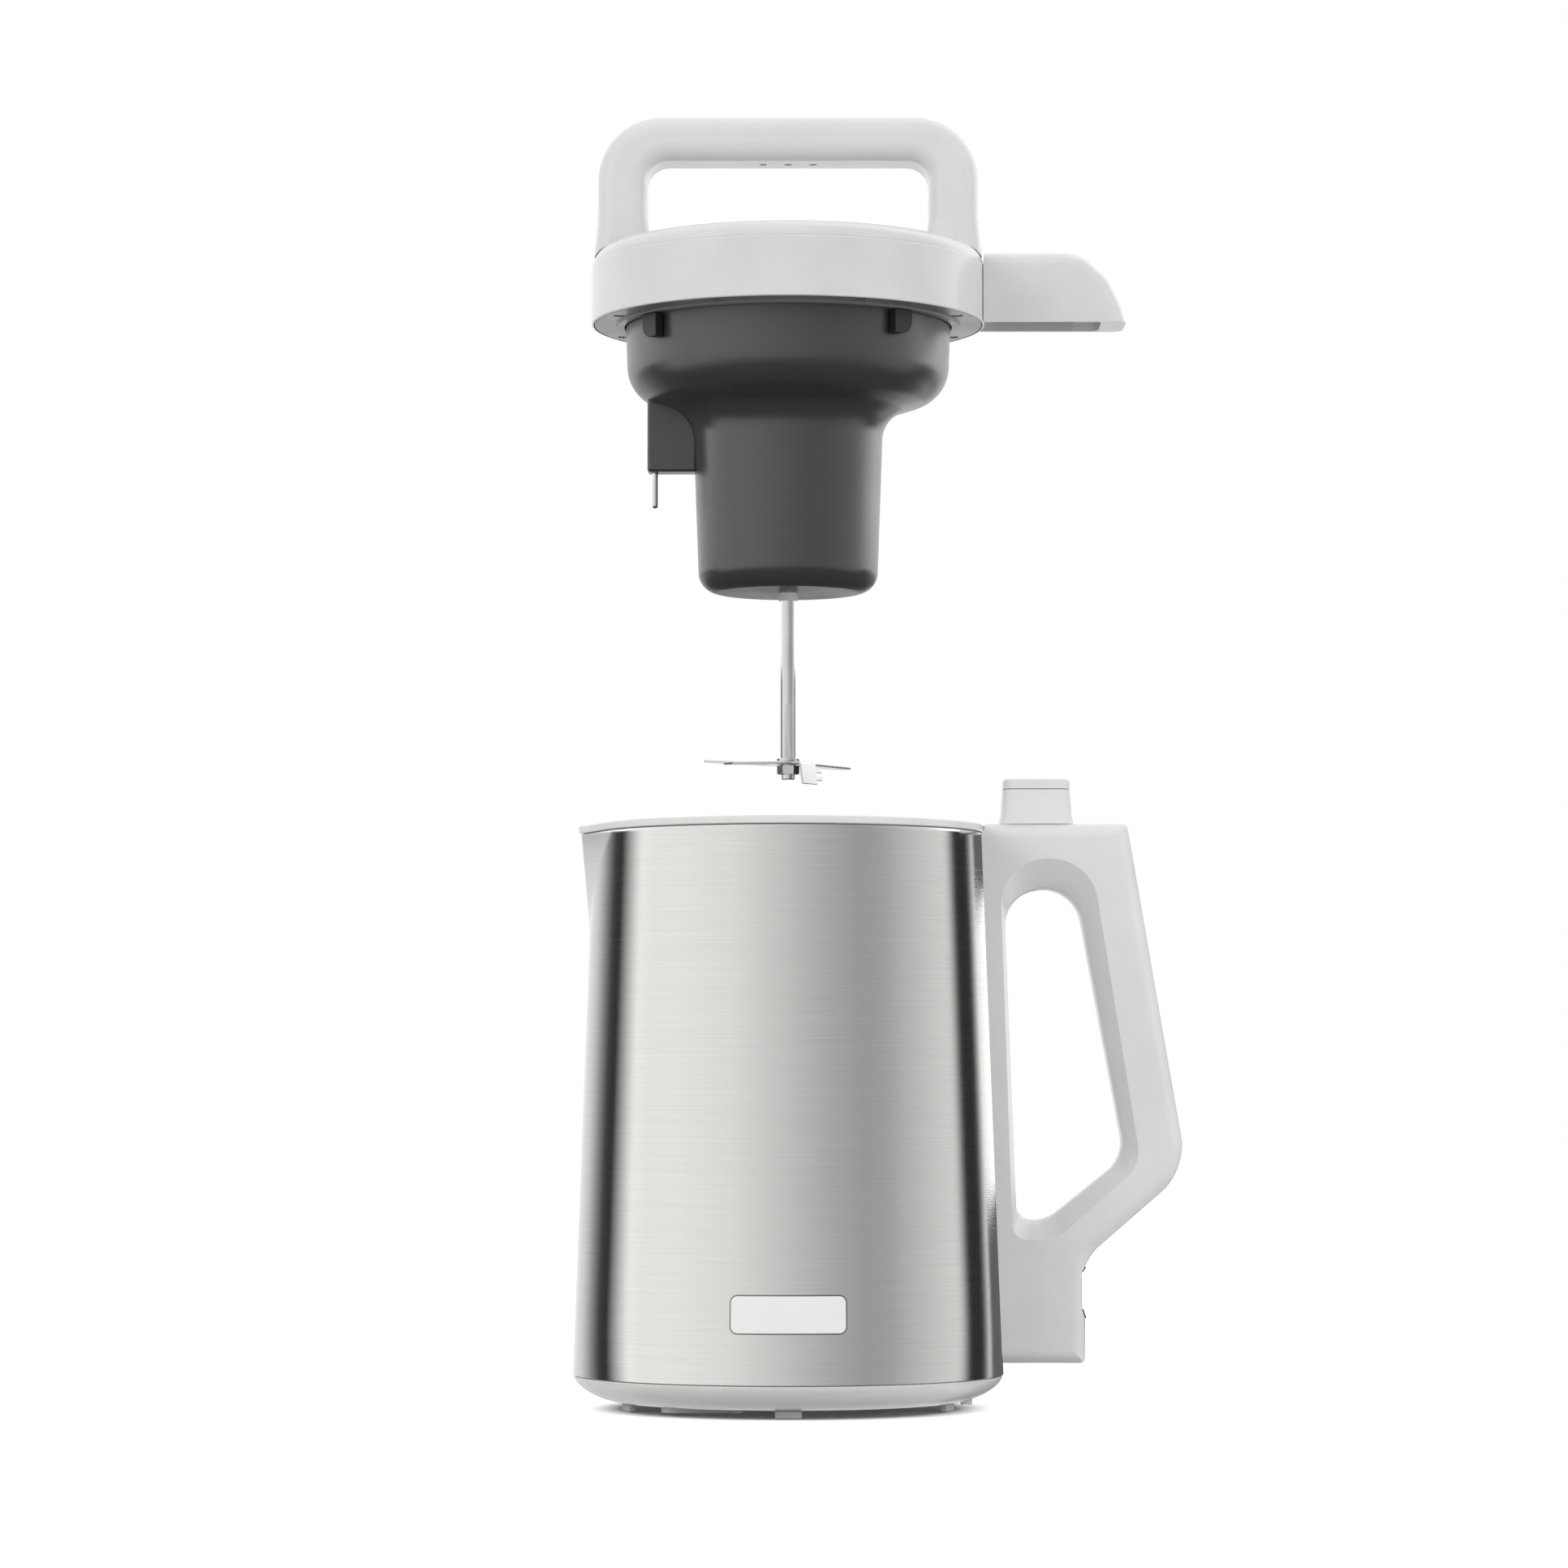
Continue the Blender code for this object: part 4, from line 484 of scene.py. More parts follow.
class Finishes:
    """Every finish of the object, each made once."""

    # WHITE is the jug's copy of the white plastic, made lighter than the head's HEAD_WHITE so that
    # the handle and base, which lie in the jug's shade, render as light: painted light.
    WHITE = Moulded("white_satin", "white_plastic", (0.775, 0.775, 0.77), 0.24)
    HEAD_WHITE = Moulded("head_white_satin", "white_plastic", (0.7, 0.7, 0.695), 0.24)
    LID = Moulded("lid_white_gloss", "lid_white", (0.69, 0.69, 0.685), 0.22)
    FLANGE = Moulded("flange_grey_satin", "flange_grey", (0.16, 0.16, 0.157), 0.3)
    DARK = Moulded(
        "housing_grey", "dark_grey_plastic", (0.036, 0.036, 0.037), 0.3, 2600.0, 0.00001,
        specular=1.0,
    )
    BLACK = Moulded("black_satin", "black_plastic", (0.012, 0.012, 0.013), 0.4)
    PANEL = Moulded(
        "panel_black_gloss", "panel_gloss", (0.015, 0.015, 0.018), 0.1, 900.0, 0.000001
    )
    BUTTON = Moulded("button_white_satin", "button_white", (0.66, 0.66, 0.65), 0.4)
    FOOT = Moulded("foot_rubber", "grey_rubber", (0.68, 0.68, 0.68), 0.7, 1200.0, 0.00002)
    SEAL = Moulded("seal_black_rubber", "seal_rubber", (0.06, 0.06, 0.06), 0.8, 1200.0, 0.00002)
    BOARD = Moulded("board_green", "circuit_board", (0.03, 0.16, 0.07), 0.35, 500.0, 0.00003)
    CARBON = Moulded("carbon_black", "brush_carbon", (0.05, 0.05, 0.05), 0.8, 3000.0, 0.00002)
    NYLON = Moulded("nylon_natural", "bush_nylon", (0.8, 0.8, 0.78), 0.4)
    STEEL = Brushed("steel_brushed_round", "brushed_steel_wall", (0.78, 0.765, 0.745), 0.1)
    BRIGHT = Metal("steel_polished", "bright_steel", (0.72, 0.72, 0.71), 0.07)
    BOWL = Metal("bowl_steel_satin", "bright_steel", (0.7, 0.7, 0.69), 0.36, 1200.0, metallic=0.4)
    BLADE = Metal("blade_satin", "bright_steel", (0.66, 0.66, 0.65), 0.27, 1500.0)
    BADGE = Moulded("badge_enamel", "white_plastic", (0.92, 0.92, 0.91), 0.3, 1500.0, 0.000002)
    BADGE_RIM = Metal("badge_rim_dark", "bright_steel", (0.22, 0.22, 0.22), 0.3)
    CAST = Metal("aluminium_cast", "cast_aluminium", (0.55, 0.55, 0.56), 0.5, 900.0, 0.00006)
    ELEMENT = Metal("element_oxidised", "element_steel", (0.3, 0.29, 0.28), 0.5)
    BRASS = Metal("contact_metal", "contact_brass", (0.62, 0.45, 0.18), 0.28)
    MOTOR = Metal("motor_plated", "motor_steel", (0.4, 0.4, 0.42), 0.35)
    CORE = Brushed(
        "laminated_core", "motor_laminations", (0.2, 0.2, 0.22), 0.5, 5.0, 2000.0, 0.0001, 0.2
    )
    COPPER = Wound("winding_copper", "rotor_copper", (0.6, 0.28, 0.14), 0.35)

    def __init__(self) -> None:
        """Start with no material made."""
        self._made: dict[str, bpy.types.Material] = {}

    def get(self, finish: Finish) -> bpy.types.Material:
        """Make the finish's material on its first use.

        Args:
            finish: the finish.

        Returns:
            The material.
        """
        if finish.name not in self._made:
            self._made[finish.name] = finish.make()
        return self._made[finish.name]


class Solid:
    """A closed shape that is drawn and cut step by step."""

    def __init__(self) -> None:
        """Start with nothing."""
        self.bm = bmesh.new()

    @classmethod
    def turned(
        cls, profile: Sequence[Point], segments: int = SEGMENTS, closed: bool = False
    ) -> "Solid":
        """Spin a profile about the upright axis.

        Args:
            profile: points as radius and height.
            segments: steps of the full turn.
            closed: whether the last point joins the first.

        Returns:
            The turned shape.
        """
        solid = cls()
        bm = solid.bm
        verts = [bm.verts.new((radius, 0, height)) for radius, height in profile]
        edges = [bm.edges.new(pair) for pair in zip(verts, verts[1:])]
        if closed:
            edges.append(bm.edges.new((verts[-1], verts[0])))
        bmesh.ops.spin(
            bm, geom=verts + edges, axis=(0, 0, 1), cent=(0, 0, 0), angle=math.tau, steps=segments,
            use_merge=True,
        )
        bmesh.ops.remove_doubles(bm, verts=bm.verts, dist=WELD)
        return solid.outwards()

    @classmethod
    def disc(
        cls, radius: float, low: float, high: float, segments: int = SMALL_SEGMENTS
    ) -> "Solid":
        """Return an upright round bar."""
        return cls.turned([(0, high), (radius, high), (radius, low), (0, low)], segments)

    def _outline(
        self, corners: Sequence[Corner], grow: float, distance: float, steps: int
    ) -> bmesh.types.BMFace:
        """Draw one outline as a face whose corners are rounded by a vertex bevel.

        Args:
            corners: the outline's corners, counter-clockwise.
            grow: how far the outline is widened.
            distance: how far from the plane it lies.
            steps: steps of each rounded corner.

        Returns:
            The face.
        """
        bm = self.bm
        before = set(bm.faces)
        spots = [Vector(corner[:2]) for corner in corners]
        sides = [(after - spot).normalized() for spot, after in zip(spots, spots[1:] + spots[:1])]
        verts, offsets = [], []
        for spot, back, ahead, corner in zip(spots, sides[-1:] + sides, sides, corners):
            turn = math.atan2(back.cross(ahead), back.dot(ahead))
            outward = Vector((back.y + ahead.y, -back.x - ahead.x))
            moved = spot + outward * grow / (1 + back.dot(ahead))
            radius = max(corner[2] + math.copysign(grow, turn * grow), LEAST_RADIUS)
            verts.append(bm.verts.new((*moved, distance)))
            offsets.append(radius * math.tan(abs(turn) / 2))
        bm.faces.new(verts)
        for vert, offset in zip(verts, offsets):
            bmesh.ops.bevel(
                bm, geom=[vert], offset=offset, offset_type="OFFSET", segments=steps, profile=0.5,
                affect="VERTICES", material=-1,
            )
        return next(face for face in bm.faces if face not in before)

    @classmethod
    def bridged(
        cls, rings: Sequence[Ring], plane: Plane, steps: int = CORNER_STEPS
    ) -> "Solid":
        """Bridge outlines that lie one behind the other.

        Args:
            rings: each outline's distance, corners and growth.
            plane: the plane that the outlines lie in.
            steps: steps of each rounded corner.

        Returns:
            The bridged shape.
        """
        solid = cls()
        bm = solid.bm
        loops, faces = [], []
        for distance, corners, grow in rings:
            face = solid._outline(corners, grow, distance, steps)
            loops.append(list(face.edges))
            faces.append(face)
        bmesh.ops.delete(bm, geom=faces[1:-1], context="FACES_ONLY")
        for lower, upper in zip(loops, loops[1:]):
            bmesh.ops.bridge_loops(bm, edges=lower + upper)
        bmesh.ops.transform(bm, matrix=plane.value.to_4x4(), verts=bm.verts)
        return solid.outwards()

    @classmethod
    def layered(
        cls, corners: Sequence[Corner], layers: Sequence[Point], plane: Plane,
        steps: int = CORNER_STEPS,
    ) -> "Solid":
        """Return an outline bridged through layers, each a distance and a growth."""
        return cls.bridged([(distance, corners, grow) for distance, grow in layers], plane, steps)

    @classmethod
    def slab(
        cls, corners: Sequence[Corner], low: float, high: float, plane: Plane, grow: float = 0.0,
        steps: int = CORNER_STEPS,
    ) -> "Solid":
        """Return a straight prism over an outline."""
        return cls.layered(corners, [(low, grow), (high, grow)], plane, steps)

    @classmethod
    def soft_slab(cls, corners: Sequence[Corner], half: float, edge: float) -> "Solid":
        """Make a prism about the middle plane whose outer edges are rounded.

        Args:
            corners: the outline's corners, counter-clockwise.
            half: half the prism's thickness.
            edge: its edges' radius.

        Returns:
            The prism.
        """
        near = [
            (edge * (1 - math.cos(turn)) - half, edge * (math.sin(turn) - 1))
            for turn in quarter(EDGE_STEPS)
        ]
        far = [(-distance, grow) for distance, grow in reversed(near)]
        return cls.layered(corners, near + far, Plane.FRONT)

    def outwards(self) -> "Solid":
        """Turn all faces outwards."""
        bmesh.ops.recalc_face_normals(self.bm, faces=self.bm.faces)
        return self

    def move(self, across: float = 0.0, aside: float = 0.0, up: float = 0.0) -> "Solid":
        """Move the shape."""
        bmesh.ops.translate(self.bm, vec=(across, aside, up), verts=self.bm.verts)
        return self

    def turn(self, angle: float) -> "Solid":
        """Turn the shape about the upright axis.

        Args:
            angle: how far.

        Returns:
            This shape.
        """
        matrix = Matrix.Rotation(angle, 3, "Z")
        bmesh.ops.rotate(self.bm, cent=(0, 0, 0), matrix=matrix, verts=self.bm.verts)
        return self

    def slice(self, place: Sequence[float], normal: Sequence[float]) -> None:
        """Add edges where a plane crosses the shape.

        Args:
            place: a point of the plane.
            normal: the plane's normal.
        """
        bm = self.bm
        geometry = bm.verts[:] + bm.edges[:] + bm.faces[:]
        bmesh.ops.bisect_plane(bm, geom=geometry, dist=WELD, plane_co=place, plane_no=normal)

    def soften(
        self, width: float, segments: int = 3, least: float = SHARP_ANGLE,
        chosen: Optional[Callable[[bmesh.types.BMEdge], bool]] = None,
    ) -> "Solid":
        """Round the sharp edges.

        Args:
            width: how far the rounding reaches from the edge.
            segments: steps of the rounding.
            least: the least angle that counts as sharp.
            chosen: a further test of each edge.

        Returns:
            This shape.
        """
        edges = [
            edge for edge in self.bm.edges
            if edge.calc_face_angle(0) > least and (chosen is None or chosen(edge))
        ]
        bmesh.ops.bevel(
            self.bm, geom=edges, offset=width, offset_type="OFFSET", segments=segments,
            profile=0.5, affect="EDGES", material=-1, clamp_overlap=True,
        )
        return self

    def _mesh(self, name: str) -> bpy.types.Mesh:
        """Hand the shape over as a mesh.

        Args:
            name: the mesh's name.

        Returns:
            The mesh.
        """
        mesh = bpy.data.meshes.new(name)
        self.bm.to_mesh(mesh)
        self.bm.free()
        return mesh

    def cut(self, other: "Solid", how: Cut = Cut.AWAY) -> "Solid":
        """Cut another shape away, or join it.

        Args:
            other: the other shape, which is used up.
            how: whether it is cut away or joined.

        Returns:
            This shape.
        """
        shapes = (("first", self), ("second", other))
        helpers = [placed(name, solid._mesh(name)) for name, solid in shapes]
        modifier = helpers[0].modifiers.new("cut", "BOOLEAN")
        modifier.operation = how.value
        modifier.solver = "EXACT"
        modifier.object = helpers[1]
        graph = bpy.context.evaluated_depsgraph_get()
        mesh = bpy.data.meshes.new_from_object(helpers[0].evaluated_get(graph))
        self.bm = bmesh.new()
        self.bm.from_mesh(mesh)
        spent = [helper.data for helper in helpers] + [mesh]
        for helper in helpers:
            bpy.data.objects.remove(helper)
        for data in spent:
            bpy.data.meshes.remove(data)
        return self

    def add(self, other: "Solid") -> "Solid":
        """Put another shape into the same piece, apart from this one.

        Args:
            other: the other shape, which is used up.

        Returns:
            This shape.
        """
        mesh = other._mesh("added")
        self.bm.from_mesh(mesh)
        bpy.data.meshes.remove(mesh)
        return self


class Workshop:
    """Makes finished pieces from shapes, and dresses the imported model's own nodes."""

    def __init__(self, finishes: Finishes) -> None:
        """Keep the finishes."""
        self.finishes = finishes

    def piece(
        self, name: str, solid: Solid, finish: Finish, body: Body | str, *nodes: str,
        flat_faces: bool = True,
    ) -> None:
        """Make a shape a piece of the object.

        Args:
            name: the piece's name.
            solid: its shape, about the jug's axis, which is used up.
            finish: its finish.
            body: the body that it moves with.
            nodes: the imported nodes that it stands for.
            flat_faces: whether broad faces keep flat shading beside rounded edges.
        """
        member = body.value if isinstance(body, Body) else body
        solid.move(*(JUG_AXIS if member == Body.JUG.value else HEAD_SEAT))
        mesh = solid._mesh(name)
        mesh.materials.append(self.finishes.get(finish))
        mesh.shade_smooth()
        mesh.set_sharp_from_angle(angle=SHARP_ANGLE)
        thing = placed(name, mesh)
        if flat_faces:
            thing.modifiers.new("even_shading", "WEIGHTED_NORMAL").keep_sharp = True
        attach(thing, member)
        if nodes:
            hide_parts(*nodes)
        LOG.info("piece %s on %s", name, member)

    def dress(self, finish: Finish, nodes: Iterable[str]) -> None:
        """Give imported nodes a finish.

        Args:
            finish: the finish.
            nodes: the nodes' names.
        """
        for node in nodes:
            thing = frame["nodes"][node]
            thing.data.materials.clear()
            thing.data.materials.append(self.finishes.get(finish))
            LOG.info("node %s dressed with %s", node, finish.name)


@dataclass
class Jug:
    """The double-walled jug: wall with its drawn spout, rim, bowl, base, feet and badge."""

    workshop: Workshop
    base_radius: float = 0.08247
    top_radius: float = 0.0749
    seam_height: float = 0.0130
    steel_top: float = 0.2197
    steel_wall: float = 0.0010
    steel_edge: float = 0.00025
    spout_foot: float = 0.1820
    spout_reach: float = 0.0051
    spout_half_angle: float = math.radians(27)
    least_crease: float = math.radians(1.5)
    crease_softness: float = math.radians(0.8)
    plain_levels: int = 6
    spout_levels: int = 22
    columns: int = 480
    rim_height: float = 0.0032
    rim_overhang: float = 0.0009
    rim_land: float = 0.0052
    rim_skirt: float = 0.0045
    rim_skirt_wall: float = 0.0016
    rim_edge: float = 0.0007
    bowl_wall: float = 0.0008
    jacket_space: float = 0.0022
    bowl_floor: float = 0.0240
    bowl_floor_inset: float = 0.0105
    bowl_corner: float = 0.0120
    foot_count: int = 5
    foot_size: Size = (0.0028, 0.0100, 0.0008)
    foot_height: float = 0.0030
    foot_inset: float = 0.0191
    foot_edge: float = 0.0003
    base_wall: float = 0.0024
    base_lip: float = 0.0004
    base_curve: float = 0.0165
    base_power: float = 1.25
    base_steps: int = 20
    base_edge: float = 0.0004
    collar_height: float = 0.0040
    collar_wall: float = 0.0020
    lump_top: float = 0.0042
    pad_size: Size = (0.0305, 0.0220, 0.0060)
    pad_low: float = 0.0009
    pad_place_shares: Point = (-0.391, -0.436)
    boss_size: Size = (0.0045, 0.0050, 0.0010)
    boss_low: float = 0.0024
    boss_place_shares: Point = (0.82, -0.2)
    badge_length: float = 0.0436
    badge_width: float = 0.0146
    badge_corner: float = 0.0030
    badge_height: float = 0.0389
    badge_thickness: float = 0.0005
    badge_face_rise: float = 0.00015
    badge_rim: float = 0.0005
    badge_edge: float = 0.0002
    badge_sink: float = 0.0001
    badge_columns: int = 40
    badge_rows: int = 8

    def wall_radius(self, height: float) -> float:
        """Return the steel wall's outside radius at a height."""
        share = (height - self.seam_height) / (self.steel_top - self.seam_height)
        return self.base_radius + (self.top_radius - self.base_radius) * share

    @property
    def rim_radius(self) -> float:
        """The rim's outside radius."""
        return self.top_radius + self.rim_overhang

    @property
    def rim_top(self) -> float:
        """The rim's height."""
        return self.steel_top + self.rim_height

    def _reach(self, angle: float, radius: float, growth: float) -> float:
        """Work out how far the wall stands from the axis, with its spout.

        Args:
            angle: the angle from the spout's middle.
            radius: the wall's radius away from the spout.
            growth: the spout's share of its full size.

        Returns:
            The wall's distance from the axis.
        """
        crease = max(self.spout_half_angle * growth, self.least_crease)
        aside = abs(angle)
        if growth <= 0 or aside >= crease:
            return radius
        tip = radius + self.spout_reach * growth
        side = tip * math.sin(aside) + radius * math.sin(crease - aside)
        return radius * tip * math.sin(crease) / side

    def drawn(self, profile: Sequence[Point], closed: bool = False) -> Solid:
        """Spin a profile about the jug's axis and draw the spout out of it towards -X.

        Args:
            profile: points as radius and height, away from the spout.
            closed: whether the last point joins the first.

        Returns:
            The wall.
        """
        solid = Solid.turned(profile, self.columns, closed)
        shifts = [self.crease_softness * step / 2 for step in range(-2, 3)]
        rise = self.steel_top - self.spout_foot
        for vert in solid.bm.verts:
            radius = vert.co.xy.length
            growth = min(max((vert.co.z - self.spout_foot) / rise, 0), 1)
            angle = math.atan2(-vert.co.y, -vert.co.x)
            reaches = [self._reach(angle + shift, radius, growth) for shift in shifts]
            reach = sum(reaches) / len(reaches)
            vert.co.xy = (-reach * math.cos(angle), -reach * math.sin(angle))
        return solid.outwards()

    def levels(self) -> list[float]:
        """Work out the heights of the wall's levels, closer together up the spout.

        Returns:
            The heights from the seam to the top.
        """
        drop, rise = self.spout_foot - self.seam_height, self.steel_top - self.spout_foot
        count = self.plain_levels
        plain = [self.seam_height + drop * step / count for step in range(count)]
        count = self.spout_levels
        return plain + [self.spout_foot + rise * step / count for step in range(count + 1)]

    def make_wall(self) -> None:
        """Make the brushed steel wall."""
        outside = [(self.wall_radius(level), level) for level in self.levels()]
        inside = [(radius - self.steel_wall, level) for radius, level in reversed(outside)]
        solid = self.drawn(outside + inside, closed=True).soften(self.steel_edge, 2, WALL_ANGLE)
        self.workshop.piece(
            "steel_wall", solid, Finishes.STEEL, Body.JUG, "jug_shell", flat_faces=False
        )

    def make_bowl(self) -> None:
        """Make the satin bowl inside."""
        top_radius = self.top_radius - self.steel_wall - self.jacket_space
        floor_radius = self.base_radius - self.bowl_floor_inset
        under = self.bowl_floor - self.bowl_wall
        low = self.bowl_floor + self.bowl_corner
        sides = []
        for level in [low] + [level for level in self.levels() if level > low]:
            share = (level - low) / (self.steel_top - low)
            sides.append((floor_radius + (top_radius - floor_radius) * share, level))
        centre = (floor_radius - self.bowl_corner, under + self.bowl_corner)
        outside = arc(centre, self.bowl_corner, -math.pi / 2, 0, CORNER_STEPS) + sides
        inner = [(radius - self.bowl_wall, level) for radius, level in reversed(sides)]
        inner += arc(centre, self.bowl_corner - self.bowl_wall, 0, -math.pi / 2, CORNER_STEPS)
        solid = self.drawn([(0, under)] + outside + inner + [(0, self.bowl_floor)])
        self.workshop.piece("steel_bowl", solid, Finishes.BOWL, Body.JUG, "inner_bowl")

    def make_rim(self) -> None:
        """Make the white ring that caps both walls and runs out over the spout."""
        low = self.steel_top + GAP
        skirt_low = low - self.rim_skirt
        skirt_outer = self.top_radius - self.steel_wall - GAP
        skirt_inner = skirt_outer - self.rim_skirt_wall
        mouth = self.rim_radius - self.rim_land
        section = [
            (self.rim_radius, low), (self.rim_radius, self.rim_top), (mouth, self.rim_top),
            (mouth, low), (skirt_inner, low), (skirt_inner, skirt_low), (skirt_outer, skirt_low),
            (skirt_outer, low),
        ]
        solid = self.drawn(section, closed=True)
        solid.soften(
            self.rim_edge, 4, WALL_ANGLE, lambda edge: edge.verts[0].co.z > self.steel_top
        )
        self.workshop.piece("rim_moulding", solid, Finishes.WHITE, Body.JUG, "rim_ring")

    def make_base(self) -> None:
        """Make the base moulding, curved under to its flat middle, with its wide pad and boss."""
        top = self.seam_height - GAP
        collar_top = self.seam_height + self.collar_height
        flat = self.base_radius - self.base_lip - self.base_curve
        spigot = self.wall_radius(collar_top) - self.steel_wall - GAP
        inner = spigot - self.collar_wall
        floor = self.foot_height + self.base_wall
        bends = [
            (math.sin(turn) ** self.base_power, abs(math.cos(turn)) ** self.base_power)
            for turn in quarter(self.base_steps)
        ]

        def side(reach: float, low: float) -> list[Point]:
            """Return the curve from the flat middle up to the seam."""
            return [(flat + reach * across, top - (top - low) * down) for across, down in bends]

        under, over = side(self.base_curve, self.foot_height), side(inner - flat, floor)
        profile = [(0, self.foot_height), *under, (spigot, top), (spigot, collar_top)]
        solid = Solid.turned(profile + [(inner, collar_top)] + over[::-1] + [(0, floor)])
        solid.soften(
            self.base_edge, 3, MOULDED_ANGLE, lambda edge: edge.verts[0].co.z < self.seam_height
        )
        pad = Solid.slab(box_corners(*self.pad_size), self.pad_low, self.lump_top, Plane.PLAN)
        pad.soften(self.base_edge)
        boss = Solid.slab(box_corners(*self.boss_size), self.boss_low, self.lump_top, Plane.PLAN)
        for lump, shares in ((pad, self.pad_place_shares), (boss, self.boss_place_shares)):
            solid.cut(lump.move(*(share * self.base_radius for share in shares)), Cut.JOIN)
        self.workshop.piece("base_moulding", solid, Finishes.WHITE, Body.JUG, "base_cover")

    def make_feet(self) -> None:
        """Make the rubber feet, each a rounded bar across the radius, the first in front."""
        radius = self.base_radius - self.foot_inset
        for number in range(self.foot_count):
            angle = math.radians(-90) + math.tau * number / self.foot_count
            top = self.foot_height - GAP
            solid = Solid.slab(box_corners(*self.foot_size), 0, top, Plane.PLAN)
            solid.soften(self.foot_edge, 2).turn(angle)
            solid.move(radius * math.cos(angle), radius * math.sin(angle))
            name = f"foot_{number + 1}"
            self.workshop.piece(f"rubber_{name}", solid, Finishes.FOOT, Body.JUG, name)

    def make_badge(self) -> None:
        """Make the bare plate on the wall's front, with its thin dark rim."""
        rim = self.badge(0, self.badge_thickness)
        self.workshop.piece("badge_rim", rim, Finishes.BADGE_RIM, Body.JUG)
        face = self.badge(self.badge_rim, self.badge_thickness + self.badge_face_rise)
        self.workshop.piece("badge_plate", face, Finishes.BADGE, Body.JUG)

    def badge(self, inset: float, thickness: float) -> Solid:
        """Make a rounded plate bent to the wall.

        Args:
            inset: how far its edge lies inside the badge's edge.
            thickness: how far it stands out.

        Returns:
            The plate.
        """
        corners = box_corners(self.badge_length, self.badge_width, self.badge_corner)
        solid = Solid.slab(corners, 0, thickness, Plane.PLAN, -inset)
        for step in range(1, self.badge_columns):
            across = self.badge_length * (step / self.badge_columns - 0.5)
            solid.slice((across, 0, 0), (1, 0, 0))
        for step in range(1, self.badge_rows):
            up = self.badge_width * (step / self.badge_rows - 0.5)
            solid.slice((0, up, 0), (0, 1, 0))
        solid.soften(self.badge_edge, 2, MOULDED_ANGLE)
        for vert in solid.bm.verts:
            across, up, out = vert.co
            height = self.badge_height + up
            radius = self.wall_radius(height) - self.badge_sink + out
            angle = across / self.wall_radius(self.badge_height)
            vert.co = (radius * math.sin(angle), -radius * math.cos(angle), height)
        return solid.outwards()

    def make(self) -> None:
        """Make all of the jug's own pieces."""
        self.make_wall()
        self.make_bowl()
        self.make_rim()
        self.make_base()
        self.make_feet()
        self.make_badge()


